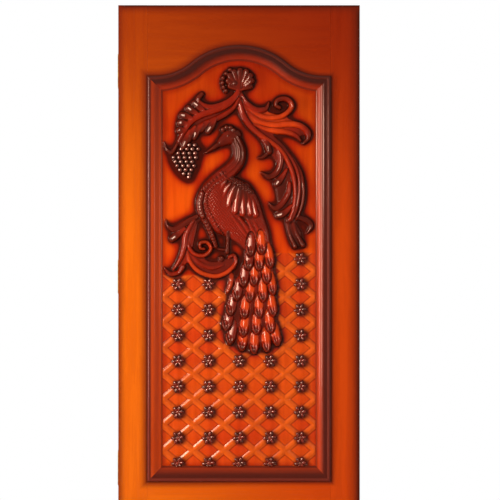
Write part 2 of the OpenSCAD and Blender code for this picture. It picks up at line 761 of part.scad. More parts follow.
// Hinges: counted from the foot, every first knuckle belongs to the jamb plate and every second to the door plate
module hinge_plate(level, on_door) {
    side = on_door ? 1 : -1;
    near = pin_x + side * plate_gap / 2;
    low_x = on_door ? near : near - plate_t;
    rise = on_door ? 0 : jamb_screw_rise;
    difference() {
        union() {
            block(
                [low_x, leaf_t / 2 - plate_w, level - hinge_h / 2],
                [low_x + plate_t, leaf_t / 2, level + hinge_h / 2]
            );
            for (i = [on_door ? 1 : 0 : 2 : knuckles - 1]) {
                foot = level - hinge_h / 2 + i * knuckle_h + knuckle_gap / 2;
                translate([pin_x, pin_y, foot]) cylinder(r = knuckle_r, h = knuckle_h - knuckle_gap);
                block(
                    [low_x, leaf_t / 2 - over, foot],
                    [low_x + plate_t, pin_y, foot + knuckle_h - knuckle_gap]
                );
            }
        }
        translate([pin_x, pin_y, level - hinge_h])
            cylinder(r = pin_r + pin_play, h = 2 * hinge_h);
        for (seat = screw_seats)
            translate([near, seat[0], level + seat[1] + rise]) rotate([0, side * 90, 0])
                translate([0, 0, -over]) {
                    cylinder(r = screw_hole_r, h = plate_t + 2 * over);
                    cylinder(
                        r1 = screw_hole_r + sink_taper * (sink_depth + over),
                        r2 = screw_hole_r,
                        h = sink_depth + over
                    );
                }
    }
}

module hinge_pin(level) {
    button_r = knuckle_r - over / 2;
    edge_part = 0.6;
    color(brass) translate([pin_x, pin_y, level]) {
        cylinder(r = pin_r, h = hinge_h + 2 * pin_button_h, center = true);
        for (end = [0, 1]) mirror([0, 0, end])
            translate([0, 0, hinge_h / 2 + knuckle_gap]) {
                cylinder(r = button_r, h = pin_button_h * edge_part);
                translate([0, 0, pin_button_h * edge_part])
                    cylinder(r1 = button_r, r2 = pin_r, h = pin_button_h * (1 - edge_part));
            }
    }
}

module hinge_screws(level) {
    tip_l = 6;
    tip_r = 0.3;
    slot_w = 1;
    slot_d = 0.7;
    color(steel) for (seat = screw_seats)
        translate([edge_x + seat_gap, seat[0], level + seat[1]]) rotate([0, 90, 0]) difference() {
            union() {
                cylinder(r1 = screw_head_r, r2 = screw_r, h = sink_depth);
                cylinder(r = screw_r, h = screw_l - tip_l);
                translate([0, 0, screw_l - tip_l]) cylinder(r1 = screw_r, r2 = tip_r, h = tip_l);
            }
            cube([slot_w, 2 * screw_head_r + 2 * over, 2 * slot_d], center = true);
        }
}

module top_hinge_door_plate() {
    color(brass) hinge_plate(hinge_levels[0], true);
}

module middle_hinge_door_plate() {
    color(brass) hinge_plate(hinge_levels[1], true);
}

module bottom_hinge_door_plate() {
    color(brass) hinge_plate(hinge_levels[2], true);
}

module top_hinge_jamb_plate() {
    color(brass) hinge_plate(hinge_levels[0], false);
}

module middle_hinge_jamb_plate() {
    color(brass) hinge_plate(hinge_levels[1], false);
}

module bottom_hinge_jamb_plate() {
    color(brass) hinge_plate(hinge_levels[2], false);
}

module top_hinge_pin() {
    hinge_pin(hinge_levels[0]);
}

module middle_hinge_pin() {
    hinge_pin(hinge_levels[1]);
}

module bottom_hinge_pin() {
    hinge_pin(hinge_levels[2]);
}

module top_hinge_screws() {
    hinge_screws(hinge_levels[0]);
}

module middle_hinge_screws() {
    hinge_screws(hinge_levels[1]);
}

module bottom_hinge_screws() {
    hinge_screws(hinge_levels[2]);
}

hinge_stile();
lock_stile();
top_rail();
bottom_rail();
carved_panel();
moulding_left();
moulding_right();
moulding_bottom();
moulding_arch();
back_bead_left();
back_bead_right();
back_bead_bottom();
back_bead_arch();
top_hinge_door_plate();
middle_hinge_door_plate();
bottom_hinge_door_plate();
top_hinge_jamb_plate();
middle_hinge_jamb_plate();
bottom_hinge_jamb_plate();
top_hinge_pin();
middle_hinge_pin();
bottom_hinge_pin();
top_hinge_screws();
middle_hinge_screws();
bottom_hinge_screws();
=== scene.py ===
import math

import bmesh
import bpy
import numpy as np
from bpy.props import FloatProperty, FloatVectorProperty, PointerProperty
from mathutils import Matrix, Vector


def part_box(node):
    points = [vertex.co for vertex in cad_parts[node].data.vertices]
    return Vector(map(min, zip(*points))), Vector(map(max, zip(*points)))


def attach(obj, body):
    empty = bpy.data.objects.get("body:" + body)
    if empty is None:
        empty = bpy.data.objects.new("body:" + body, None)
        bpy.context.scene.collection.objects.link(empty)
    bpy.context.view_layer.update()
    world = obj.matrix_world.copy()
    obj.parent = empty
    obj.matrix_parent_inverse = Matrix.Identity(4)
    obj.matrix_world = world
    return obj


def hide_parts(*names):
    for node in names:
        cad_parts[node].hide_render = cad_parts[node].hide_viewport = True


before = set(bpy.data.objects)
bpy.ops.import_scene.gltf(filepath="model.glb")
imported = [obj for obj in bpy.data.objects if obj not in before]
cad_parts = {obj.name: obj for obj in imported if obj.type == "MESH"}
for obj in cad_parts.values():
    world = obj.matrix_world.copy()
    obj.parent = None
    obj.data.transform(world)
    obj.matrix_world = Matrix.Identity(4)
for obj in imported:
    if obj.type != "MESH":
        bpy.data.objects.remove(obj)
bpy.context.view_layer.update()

bl_info = {
    "name": "Carved wooden door",
    "version": (1, 0, 0),
    "blender": (4, 5, 0),
    "location": "View3D > Sidebar > Carved door",
    "description": "Dresses a carved door leaf: lacquered frame, mouldings, carved panel and hinges",
    "category": "Object",
}

MM = 0.001

# Levels and outline of the frame opening, in metres
HALF_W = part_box("lock_stile")[0].x
LEAF_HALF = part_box("lock_stile")[1].x
LEAF_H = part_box("lock_stile")[1].z
FACE_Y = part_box("lock_stile")[0].y
FOOT_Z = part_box("bottom_rail")[1].z
CORNER_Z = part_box("top_rail")[0].z
ARCH_RISE = 116 * MM
SHOULDER_X = HALF_W - 30 * MM
RADIUS_SUM = (SHOULDER_X ** 2 + ARCH_RISE ** 2) / (2 * ARCH_RISE)
CROWN_R = 0.57 * RADIUS_SUM
SIDE_R = RADIUS_SUM - CROWN_R
CROWN_Z = CORNER_Z + ARCH_RISE - CROWN_R
SIDE_Z = CORNER_Z + SIDE_R
ARCH_TURN = math.asin(SHOULDER_X / RADIUS_SUM)
WOOD_GAP = 0.2 * MM
MOULDING_W = 56.5 * MM
GROUND_Y = -6 * MM
BACK_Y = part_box("carved_panel")[1].y
FIELD_HALF = HALF_W - MOULDING_W
FIELD_FOOT = FOOT_Z + MOULDING_W
FIELD_CORNER = CORNER_Z - MOULDING_W

# Grid on which the carving is drawn, x to the right and y down
MID_LINE, SIDE_LINE, FOOT_LINE, CORNER_LINE = 235.25, 312.0, 463.0, 87.8
UNIT_X = FIELD_HALF / (SIDE_LINE - MID_LINE)
UNIT_Z = (FIELD_CORNER - FIELD_FOOT) / (FOOT_LINE - CORNER_LINE)
UNIT = min(UNIT_X, UNIT_Z)

# Where the main light comes from and where the door is looked at from
KEY_PLACE = (-2.1, -2.7, 1.8)
VIEW_AWAY = 4.5
VIEW_PLACE = (0.0416, FACE_Y - VIEW_AWAY, 1.1304)

# Lattice: spacing of its flowers and place of the first in grid units, rows, first row of each column, the
# lines at which it starts, right of the bird and elsewhere, and the height of its middle
FLOWER_STEP = (30.72, 25.65)
FLOWER_START = (MID_LINE - 2 * FLOWER_STEP[0], 255.2)
FLOWER_ROWS = 9
FLOWERS_FROM = (1, 1, 4, 4, 0)
LATTICE_RIGHT, LATTICE_TOPS = 262, (250, 272)
LATTICE_MID_Z = 0.75
# Swell of the pits, width of the painted shade at the feet of the ribs, and fade of the lattice's top edge
PIT_SWELL, RIB_SHADE_W, LATTICE_FADE = 1.8 * MM, 1.6 * MM, 2 * MM

# A flower, in parts of its radius: ring of the petals, half length and half width of a petal, and the boss
FLOWER_RING, PETAL_LONG, PETAL_SLIM, FLOWER_BOSS = 0.59, 0.4, 0.25, 0.26
FLOWER_TURN = math.radians(8)
PETAL_H, PETAL_CUT, BOSS_H, BOSS_CUT = 7 * MM, 1.2 * MM, 5.5 * MM, 0.5 * MM
GRAPE_RISE, GRAPE_H, GRAPE_CUT = 5 * MM, 9.5 * MM, 0.6 * MM
FLOWER_SPREAD, GRAPE_SPREAD, SCATTER_SEED = 0.02, 0.06, 7

# Cuts that catch the light: radius of their doming, deepest cut on a bead, how far a leaning stroke may
# rise and fall along its line, and how high a stroke may get as a part of the relief
CUT_CURVE = 30 * MM
BEAD_CUT = 1.2 * MM
RISE_MAX = 9 * MM
HEIGHT_MAX = 1.08

# Reach of the sprayed stain round the carving, of the painted shadow and spray by the flowers, and of other
# soft fields
SPRAY_REACH, HALO_REACH = 12 * MM, 22 * MM
FLOWER_SHADOW_OFF, FLOWER_SHADOW_R, FLOWER_SHADOW_REACH = (1.6, 0.5), 28 * MM, 9 * MM
HOLLOW_REACH, HOLLOW_DEEP = 4 * MM, 3 * MM
BORDER_W = 40 * MM
CARVING_MARGIN, HIDDEN_EDGE = 36 * MM, 24 * MM
MOTIF_H, EDGE_FADE = 0.8 * MM, (-0.5 * MM, 2.5 * MM)
SURFACE_BACK, KNOB_BACK = -2 * MM, 2 * MM
GROUND_TONE, SOFTENED = 0.2, 0.4

# Stipple of the breast: height, and the grid lines between which it lies and fades
STIPPLE_H, STIPPLE_SIDES, STIPPLE_TOP, STIPPLE_FOOT = 1.4 * MM, (190, 262), (150, 200), (262, 250)

# Width of the spray on the frame: beside the moulding, the dark line in it, and along three edges
MOULDING_SPRAY, MOULDING_LINE = 36 * MM, 9 * MM
LOCK_SPRAY, TOP_SPRAY, HINGE_SPRAY = 56 * MM, 38 * MM, 31 * MM

# Stain: height from which it deepens, and how far below its corner the arch counts
DEEPER_FROM, ARCH_BELOW = 1.1, 0.1

# Stain of the moulding: x of the hinge side, z of the bottom piece, and across its width the end of the
# bead, the start of the foot, and the quirks beside the frame and the ground
HINGE_SIDE, LOW_PIECE = (-0.25, -0.30), (0.6, 0.5)
BEAD_END, FOOT_START, FRAME_QUIRK, GROUND_QUIRK = (0.19, 0.27), (0.42, 0.8), (0.024, 0.012), (0.88, 0.9)

# Reflection of the lacquers, and depth of their grain
FRAME_GLOSS, MOULDING_GLOSS, KNOB_GLOSS = 0.14, 0.26, 0.55
GROUND_GLOSS, LATTICE_GLOSS, CARVED_GLOSS = 0.1, 0.2, 0.19
GRAIN_DEEP = 0.4 * MM

# Strokes of the carving: points in grid units, then along them half widths in grid units, heights as parts
# of the relief, and tones of the stain, from 0 for dark brown through red to 1 for orange red
LEAF_STRANDS = [
    ([(234.5, 87), (230, 93), (223, 98.5), (215, 102), (206, 103.5), (198, 101), (194, 96), (198, 90.5)],
     (2.0, 3.0, 3.2, 2.4), (0.6, 0.78, 0.75, 0.8), (0.4, 0.55, 0.4, 0.0)),
    ([(235, 89), (228, 98), (218, 104), (207, 108), (196, 112), (187, 118), (181, 126), (175.5, 136),
      (170, 147)],
     (2.2, 3.4, 3.4, 3.0, 1.5), (0.65, 0.82, 0.82, 0.7, 0.5), (0.4, 0.6, 0.55, 0.35, 0.1)),
    ([(235.5, 95), (229, 105), (219, 112), (208, 117), (198, 121), (190, 126)],
     (1.6, 2.8, 3.0, 2.2), (0.55, 0.7, 0.7, 0.6), (0.3, 0.4, 0.3, 0.1)),
    ([(173, 141), (168, 148.5), (162.5, 145.5), (160.3, 138)],
     (1.6, 2.2, 1.8, 0.6), (0.5, 0.5, 0.4, 0.3), (0.1, 0.0)),
    ([(236, 86), (235.5, 98), (239, 111), (246, 122), (256, 131), (266, 138), (276, 146), (284, 158),
      (289.5, 172), (291.5, 188), (290, 204), (286, 216)],
     (2.2, 3.4, 3.0, 2.8, 2.6, 2.4, 2.2), (0.6, 0.8, 0.8, 0.8, 0.85, 0.85, 0.75),
     (0.4, 0.4, 0.7, 0.7, 0.5, 0.4)),
    ([(237, 89), (243, 99), (253, 106), (262, 105), (265.2, 98.5)],
     (1.6, 2.6, 3.0, 0.9), (0.55, 0.7, 0.7, 0.6), (0.35, 0.4, 0.15)),
    ([(239, 96), (250, 108), (262, 113.5), (274, 113.5), (283, 109.5), (288, 103), (285.5, 97),
      (279.5, 95), (273.5, 97), (272, 101.5), (276, 104)],
     (1.8, 2.6, 3.0, 2.6, 2.0), (0.5, 0.75, 0.8, 0.85, 0.9), (0.5, 0.9, 0.8, 0.3, 0.1)),
    ([(243, 108), (256, 118), (270, 121.5), (284, 120.5), (295, 121.5), (303, 127.5), (304.5, 134),
      (299.5, 140)],
     (1.8, 2.8, 3.2, 3.6, 1.2), (0.5, 0.75, 0.75, 0.75, 0.5), (0.55, 0.95, 0.9, 0.4, 0.0)),
    ([(250, 121), (264, 126), (279, 128), (291, 131.5), (297, 137)],
     (1.4, 2.8, 2.8, 1.4), (0.45, 0.62, 0.6, 0.45), (0.6, 0.95, 0.7, 0.1)),
    ([(274, 141), (286, 153), (294, 170), (295.6, 186), (293, 204), (288, 216)],
     (1.4, 2.2, 2.2, 1.8), (0.55, 0.8, 0.8, 0.7), (0.4, 0.35, 0.3)),
    ([(288, 152), (296.5, 168), (299.5, 186), (298, 202), (293, 215)],
     (1.0, 2.2, 2.2, 1.5), (0.45, 0.66, 0.66, 0.55), (0.3, 0.25, 0.15)),
    ([(264.5, 149), (259, 153.5), (253, 154.5)],
     (2.4, 1.8, 0.6), (0.6, 0.5, 0.35), (0.1, 0.0)),
    ([(271, 141), (277, 154), (274, 167), (266, 173), (257, 168.5)],
     (2, 3.2, 3.4, 2.8, 0.7), (0.6, 0.72, 0.7, 0.6, 0.45), (0.4, 0.2, 0.05)),
    ([(286, 180), (284, 191), (277, 201.5), (270.5, 204.5), (264.5, 199)],
     (2, 3.0, 3.2, 2.6, 0.7), (0.6, 0.72, 0.7, 0.6, 0.45), (0.4, 0.2, 0.05)),
    ([(283.5, 219), (286, 231), (291.3, 243)],
     (2.2, 1.8, 2.6), (0.6, 0.55, 0.75), (0.2, 0.15, 0.0)),
    ([(288, 217), (293, 230), (299, 241.5)],
     (2.2, 1.8, 2.8), (0.6, 0.55, 0.78), (0.2, 0.15, 0.0)),
    ([(291, 213), (302, 216.5), (307.5, 222.5), (303, 230)],
     (1.8, 3, 2.6, 0.8), (0.5, 0.5, 0.45, 0.35), (0.15, 0.0)),
]
LEAF_BULBS = [
    [(202, 109), (196, 104), (190.5, 99.5)],
    [(196, 112), (189.5, 108), (184.5, 104.5)],
    [(190, 116), (183.5, 113), (178, 111.5)],
    [(185.5, 121), (180, 119.5), (176, 119.2)],
    [(182, 127), (178, 126.5), (175.2, 126.8)],
    [(212, 115), (208.5, 121), (204, 127.5)],
    [(205, 117.5), (200.5, 122), (197, 126)],
    [(199, 120.5), (193.5, 127), (190, 133.5)],
    [(191.5, 123), (187, 129.5), (184, 136.5)],
    [(186, 127), (182.5, 135), (179.5, 142.5)],
    [(256, 131), (262.5, 140), (265.5, 148)],
    [(283, 166), (277, 175.5), (272.5, 180.5)],
    [(288, 202), (281, 209), (274, 212)],
]
LEAF_MASSES = [
    ([(226, 102), (205, 110), (190, 114), (180, 124)],
     (3, 7, 8, 3), (0.34, 0.36, 0.36, 0.3), (0.3, 0.3, 0.1)),
    ([(210, 115), (199, 121), (187, 128)],
     (3, 7, 4), (0.34, 0.36, 0.3), (0.2, 0.1)),
    ([(240, 100), (256, 114), (275, 121), (297, 126)],
     (3, 9, 10, 6), (0.3, 0.36, 0.36, 0.28), (0.5, 0.9, 0.9, 0.2)),
    ([(256, 128), (274, 146), (288, 170), (291, 195), (287, 216)],
     (5, 8, 10, 9, 5), (0.34, 0.38, 0.38, 0.36, 0.3), (0.3, 0.2, 0.15)),
    ([(278, 166), (279, 185), (281, 205)],
     (5, 7, 5), (0.32, 0.34, 0.3), (0.1, 0.05)),
    ([(287, 219), (292, 230), (295, 239)],
     (4, 6, 4), (0.34, 0.34, 0.3), (0.15, 0.1)),
]
SCROLL_STRANDS = [
    ([(200, 209.5), (186, 217), (172, 225.5), (164, 223), (162, 216)],
     (1.6, 3.2, 3.0, 1.8, 0.6), (0.55, 0.68, 0.62, 0.5, 0.35), (0.1, 0.15, 0.05)),
    ([(190, 217), (182, 231), (180, 244), (176.5, 255), (169.5, 266)],
     (1.6, 3.2, 3.0, 2.4, 1.4), (0.7, 0.8, 0.75, 0.65, 0.5), (0.3, 0.45, 0.6, 0.6)),
    ([(192, 218), (186, 231), (184.5, 242), (191, 250.5), (201, 251.8), (207, 245.5), (203.5, 239),
      (196.8, 239.5), (196.5, 244.5), (200.5, 245.5)],
     (1.5, 2.2, 2.2, 2.0, 1.6), (0.6, 0.7, 0.72, 0.78, 0.8), (0.2, 0.6, 0.75, 0.7)),
    ([(160, 264), (166.5, 270.5), (174.2, 269.5), (179, 263.5)],
     (0.9, 2.2, 2.2, 2.8), (0.35, 0.5, 0.5, 0.65), (0.3, 0.6, 0.3)),
    ([(181.8, 244), (186.4, 258.5), (195.6, 268.5), (210.8, 273), (223, 269), (231.8, 259.5),
      (230.5, 252), (225.5, 253.5)],
     (1.8, 2.6, 2.6, 2.2, 1.8), (0.55, 0.68, 0.68, 0.68, 0.7), (0.6, 0.85, 0.85, 0.6, 0.4)),
    ([(187, 251), (196, 260), (208, 264.5), (220, 261.5)],
     (1.2, 2.4, 2.4, 1.0), (0.4, 0.48, 0.48, 0.4), (0.35, 0.3)),
    ([(228, 272), (226.5, 281), (223.5, 288)],
     (2.6, 2.8, 2.2), (0.3, 0.42, 0.45), (0.7, 0.8)),
]
SCROLL_BULBS = [
    [(181, 225), (174, 231), (168, 235.5)],
]
SCROLL_MASSES = [
    ([(196, 214), (182, 222), (170, 226)],
     (3, 6, 3), (0.3, 0.34, 0.28), (0.1, 0.1)),
    ([(190, 222), (184, 240), (178, 260)],
     (4, 6, 4), (0.34, 0.34, 0.25), (0.3, 0.6)),
    ([(187, 251), (198, 262), (213, 266), (227, 259)],
     (4, 7, 8, 4), (0.28, 0.28, 0.28, 0.28), (0.4, 0.2, 0.2)),
]
BULB = ((1.5, 3.0, 3.9, 3.4), (0.5, 0.64, 0.86, 0.86), (0.4, 0.3, 0.1, 0.0))
LEAF_BEADS = [((285.5, 216.5), 4, 0.8), ((217.7, 255.4), 3.2, 0.62), ((230, 263.5), 2.6, 0.7)]
LEAF_GAP, LEAF_FILL = 9 * MM, 0.26

# Shell: its bed, lobes round its foot, of which some face the light, beads beside them and an eye. Beds
# and beads have a place, radius and height, and may have a tone
SHELL_MID, SHELL_FOOT = (236.5, 77), (236, 87)
SHELL_BED, SHELL_EYE = (SHELL_MID, 15, 0.42, 0.1), ((231, 80), 3.0, 0.95)
SHELL_LOBES, SHELL_START, SHELL_TURN, SHELL_REACH = 9, 212, 30.5, (11.5, 10)
SHELL_BRIGHT = (5, 6, 7)
SHELL_LOBE = ((1.0, 2.2, 3.4), (0.7, 0.74, 0.74), (0.3, 0.2, 0.1))
SHELL_BEAD = (2.3, 0.68)
SHELL_BEADS = [(226.5, 66), (222.3, 69.8), (219.5, 74.2), (218.8, 79), (219.8, 83.6), (222.3, 87.2)]

# Grapes: line, first place and number of each row, the bed that they lie on, and the spray round each
GRAPE_ROWS = [(141.5, 185.5, 2), (145.5, 177.5, 4), (149.7, 174.5, 4), (154, 169.7, 5), (158.2, 171.5, 4),
              (162.3, 173.5, 4), (166.4, 176.3, 3), (170.3, 180, 2), (173.6, 185, 1)]
GRAPE_STEP = 5.6
GRAPE_BED = ((182, 157), 13, 0.28, 0.0)
GRAPE_SPRAY = 5

# Bird
BREAST = ([(220, 176), (213.5, 190), (213.5, 204), (220, 215), (231, 223), (243, 233), (252, 244)],
          (9, 17, 18.5, 16, 13, 11, 10), (0.72, 0.72, 0.74, 0.72, 0.64, 0.58, 0.52),
          (0.3, 0.36, 0.42, 0.42, 0.36, 0.3))
BACK = ([(240, 186), (246, 200), (251, 216), (256, 232), (257, 246)],
        (8, 10, 10, 10, 10), (0.6, 0.66, 0.62, 0.56, 0.5), (0.2, 0.3, 0.35))
NECK = ([(231, 135), (235.5, 146), (234.5, 157), (227.5, 166), (217, 174), (207, 182), (200.5, 190)],
        (5.8, 6.6, 7.2, 7.6, 7.6, 6.5, 4), (0.85, 0.86, 0.88, 0.86, 0.84, 0.8, 0.74),
        (0.05, 0.1, 0.25, 0.35, 0.3))
HEAD = ([(232.5, 131), (226, 133), (217, 139)],
        (5.5, 8, 4.2), (0.75, 0.95, 0.75), (0.1, 0.2, 0.15))
BEAK = ([(219, 138), (210, 144), (200.8, 149.8)],
        (3.6, 2.4, 0.6), (0.75, 0.66, 0.4), (0.05, 0.1))
BRAID = ([(221, 169.5), (208.5, 177.5), (199.5, 187), (195.5, 199), (197, 209.5), (203, 220.5),
          (209, 234), (212, 243)],
         (2.6, 3.4, 3.4, 2.4), (0.88, 0.84, 0.8, 0.6), (0.25, 0.15, 0.15))
BRAID_BRIGHT = ([(197.8, 190), (195.6, 198), (196.2, 206), (199, 213)],
                (3.2, 3.8, 3.8, 3.0), (0.82, 0.9, 0.9, 0.8), (0.2, 0.15, 0.15))
BRAID_INNER = ([(219, 176), (210, 183), (204.3, 191), (203, 200), (206.5, 210), (213, 221.5), (219, 231)],
               (1.2, 1.6, 1.6, 1.2), (0.92, 0.95, 0.93, 0.82), (0.1, 0.1))
COLLAR = ([(217, 168), (222, 174), (229, 178)],
          (1.0, 1.4, 1.0), (0.9, 0.98, 0.9), (0.2, 0.2))
SHOULDER = ([(227, 174.5), (237, 181), (247.5, 188.5)],
            (2.8, 4.6, 3.2), (0.92, 1.0, 0.92), (0.0, 0.0))
LEGS = [
    ([(226, 227), (236, 233.5), (245, 238.5)],
     (4, 5, 4), (0.5, 0.52, 0.45), (0.0, 0.0)),
    ([(224.5, 228), (224, 238), (223.8, 248.5)],
     (3, 2.2, 2.6), (0.6, 0.55, 0.5), (0.05, 0.1)),
    ([(224.5, 246.5), (217, 246), (210, 243.8)],
     (1.8, 1.6, 1.4), (0.4, 0.4, 0.35), (0.1, 0.1)),
]
CREST_BEAD, HEAD_EYE = (2.6, 0.95), ((224.5, 132.5), 1.4, 1.0)
CREST_BEADS = [(219.3, 126), (222.8, 124), (226.8, 124.2), (229.8, 126.8)]
WING = ([(228, 181), (235, 192), (242, 203), (246, 211)],
        (6, 11, 11, 7), (0.72, 0.74, 0.74, 0.7), (0.1, 0.1))
WING_ROOTS, WING_BOW = ((222.5, 177.5), (248, 192)), (-0.8, -0.4)
WING_TIPS = [(215, 186), (217.6, 194), (223.6, 201.5), (231, 207.5), (238.9, 209.5), (246.4, 209.5),
             (252, 211)]
WING_COVERTS = [
    [(229, 213), (238, 225), (247, 237)],
    [(236, 214.5), (244, 226), (251, 239)],
    [(243.5, 215), (249.5, 227), (256, 241)],
    [(250, 217), (255.5, 228), (261.5, 242)],
]
WING_QUILL = ((1.8, 3.7, 3.9), (0.76, 0.8, 0.8), (0.05, 0.45, 0.4))
WING_COVERT = ((1.4, 2.8, 1.8), (0.7, 0.8, 0.74), (0.3, 0.5, 0.2))

# Train: its mass, its feathers by their tips, from the lowest row up, and three lobes at each tip
TRAIN = ([(254, 238), (255.6, 250), (254.4, 271), (250.8, 288), (247.6, 308), (247.5, 321), (249.2, 332)],
         (10, 12, 16, 20, 24.5, 25, 15), (0.55, 0.5, 0.46, 0.44, 0.42, 0.38, 0.3), (0.2, 0.15, 0.1))
FEATHER_TIPS = [
    [(226.2, 338.5), (238, 345), (250.3, 348), (263, 346), (273.5, 340)],
    [(222.5, 325), (239.5, 331), (252.8, 328.5), (266.9, 327)],
    [(226.5, 310), (240.3, 313), (255.3, 312), (269.4, 310.5)],
    [(233, 295), (246.1, 296), (259.4, 296), (269, 289)],
    [(239.5, 281), (250.3, 280), (263, 277.5)],
    [(244.5, 264), (255.3, 264.5), (266.5, 262)],
    [(246.5, 250.5), (257.7, 248.5)],
]
FEATHER_L, FEATHER_LEAN, TRAIN_MID = 20, 0.16, 252
PLUME_LIFT, PLUME_FACET = 0.5, 0.9
PLUME_W, PLUME_H = (2.8, 4.6, 5.2, 5.2, 3.4), (0.54, 0.6, 0.6, 0.6, 0.58)
PLUME_TONES, SIDE_PLUME_TONES = (0.9, 1.0, 0.95, 0.7, 0.4), (0.3, 0.35, 0.3, 0.2, 0.1)
LOBE_SIDES, LOBE_DOWN, LOBE_END = (3.6, 2.9, 1.5), (-7.5, -3), 1.2
TIP_LOBE = ((0.9, 1.7, 1.4), (0.72, 0.86, 0.84), (0.4, 0.2, 0.1))

# Stage: lamps by name, place, aim, width, height and power; light of the surroundings, floor and camera
LAMPS = (
    ("key", KEY_PLACE, (0.0, 0.0, 1.0), 0.32, 0.62, 72.0),
    ("window", (-3.1, -1.2, 1.25), (0.3, 0.0, 1.25), 0.55, 2.1, 74.0),
    ("fill", (2.4, -3.2, 1.2), (0.0, 0.0, 1.0), 1.2, 1.2, 22.0),
    ("back", (1.6, 3.2, 2.0), (0.0, 0.0, 1.0), 1.2, 1.2, 70.0),
)
AMBIENT = 0.23
FLOOR_HALF, FLOOR_FRONT, FLOOR_BACK = 2.5, -3.0, 0.78
FLOOR_FADE, BACK_FADE = (1.1, 0.05), 2.4
VIEW_WIDE = 1.8925


def srgb(red, green, blue, alpha=1.0):
    """Scene colour of a colour that is given as it looks on a screen, from 0 to 255."""
    def level(v):
        v /= 255
        return v / 12.92 if v <= 0.04045 else ((v + 0.055) / 1.055) ** 2.4
    return (level(red), level(green), level(blue), alpha)


def smooth(low, high, value):
    t = np.clip((value - low) / (high - low), 0, 1)
    return t * t * (3 - 2 * t)


def placed(points):
    """Points of the drawing grid as X and Z in metres."""
    p = np.asarray(points, float)
    return np.stack([(p[..., 0] - MID_LINE) * UNIT_X, FIELD_FOOT + (FOOT_LINE - p[..., 1]) * UNIT_Z], -1)


def traced(points, steps=10):
    """Smooth curve through the points of a stroke."""
    p = np.asarray(points, float)
    k = np.vstack([p[:1], p, p[-1:]])
    f = (np.arange(steps) / steps)[:, None]
    out = []
    for a, b, c, d in zip(k[:-3], k[1:-2], k[2:-1], k[3:]):
        out.append(b + f * (c - a) / 2 + f ** 2 * (a - 2.5 * b + 2 * c - d / 2)
                   + f ** 3 * (1.5 * b - 1.5 * c + d / 2 - a / 2))
    return np.vstack(out + [p[-1:]])


def along(values, t):
    return np.interp(t, np.linspace(0, 1, len(values)), values)


def arch_top(x, inset):
    """Height of the arched edge over x, for the opening made smaller by inset."""
    side = np.abs(x)
    turn_x = (CROWN_R - inset) * math.sin(ARCH_TURN)
    crown = CROWN_Z + np.sqrt(np.clip((CROWN_R - inset) ** 2 - side ** 2, 0, None))
    reach = np.clip(SHOULDER_X - side, 0, None)
    hollow = SIDE_Z - np.sqrt(np.clip((SIDE_R + inset) ** 2 - reach ** 2, 0, None))
    return np.where(side < turn_x, crown, hollow)


def blurred(field, cells):
    """Soft copy of a field, by three passes of a running mean over about that many cells."""
    size = max(1, int(round(cells)))
    for axis in (0, 1):
        for _ in range(3):
            pad = [(size + 1, size) if a == axis else (0, 0) for a in (0, 1)]
            total = np.cumsum(np.pad(field, pad, mode="edge"), axis)
            n = field.shape[axis]
            span = 2 * size + 1
            high = np.take(total, range(span, span + n), axis)
            low = np.take(total, range(0, n), axis)
            field = (high - low) / span
    return field


def glint(x, z):
    """Slopes, to the right and up, of a cut at x and z that faces halfway between light and viewer."""
    half = np.zeros(3)
    for place in (KEY_PLACE, VIEW_PLACE):
        way = np.subtract(place, (x, FACE_Y, z))
        half += way / np.linalg.norm(way)
    return half[0] / half[1], half[2] / half[1]


def cut_knob(dx, dz, radius, tall, slopes, depth):
    """Height of a round knob with a slightly domed cut across its top, which leans by the slopes."""
    dome = tall * np.sqrt(np.clip(1 - (dx * dx + dz * dz) / radius ** 2, 0, 1))
    steep = math.hypot(*slopes) * radius / tall
    grow = math.sqrt(1 + steep ** 2)
    reach = radius ** 2 / tall / grow
    away = (dx + slopes[0] * reach) ** 2 + (dz + slopes[1] * reach) ** 2
    cut = tall * grow - depth + slopes[0] * dx + slopes[1] * dz - away / (2 * CUT_CURVE)
    return np.minimum(dome, cut)


# Sections of a stroke over its width s, from -1 to 1, and its length t, from 0 to 1
def round_section(s, t):
    return np.sqrt(np.clip(1 - s * s, 0, 1))


def pillow(s, flat):
    """Steep sides under a wide, gently domed top; flat is the part of the height that the sides take."""
    return np.sqrt(np.clip(1 - np.abs(s) ** 5, 0, 1)) * (flat + (1 - flat) * (1 - np.abs(s) ** 1.5))


def cushion_section(s, t):
    return np.clip(1 - s ** 4, 0, 1) ** 0.5


def strand_section(s, t):
    groove = 0.1 * np.exp(-((s - 0.5) / 0.16) ** 2)
    return pillow(s, 0.9) * (1 - groove)


def bulb_section(s, t):
    return pillow(s, 0.93)


def neck_section(s, t):
    return pillow(s, 0.88) * (0.86 + 0.14 * smooth(-0.5, 0.5, np.cos(s * 10.5)))


def braid_wave(s, t, count):
    """Chevrons over a stroke, from 0 in their grooves to 1 between them."""
    return np.abs(((t * count + np.abs(s) * 0.6) % 1) - 0.5) * 2


def braid_section(s, t):
    return pillow(s, 0.88) * (0.78 + 0.22 * smooth(0.08, 0.6, braid_wave(s, t, 27)))


def bright_braid_section(s, t):
    """The stretch of the braid on the breast that faces the light."""
    return pillow(s, 0.965) * (0.93 + 0.07 * smooth(0.02, 0.3, braid_wave(s, t, 7)))


def dotted_section(s, t):
    return round_section(s, t) * (0.82 + 0.18 * np.cos(2 * np.pi * 22 * t))


def hatched_section(s, t):
    a = np.abs(((t * 8 + s * 1.1) % 1) - 0.5) * 2
    b = np.abs(((t * 8 - s * 1.1) % 1) - 0.5) * 2
    return round_section(s, t) * (0.8 + 0.2 * np.minimum(smooth(0.15, 0.6, a), smooth(0.15, 0.6, b)))


def quill_section(s, t):
    return pillow(s, 0.955)


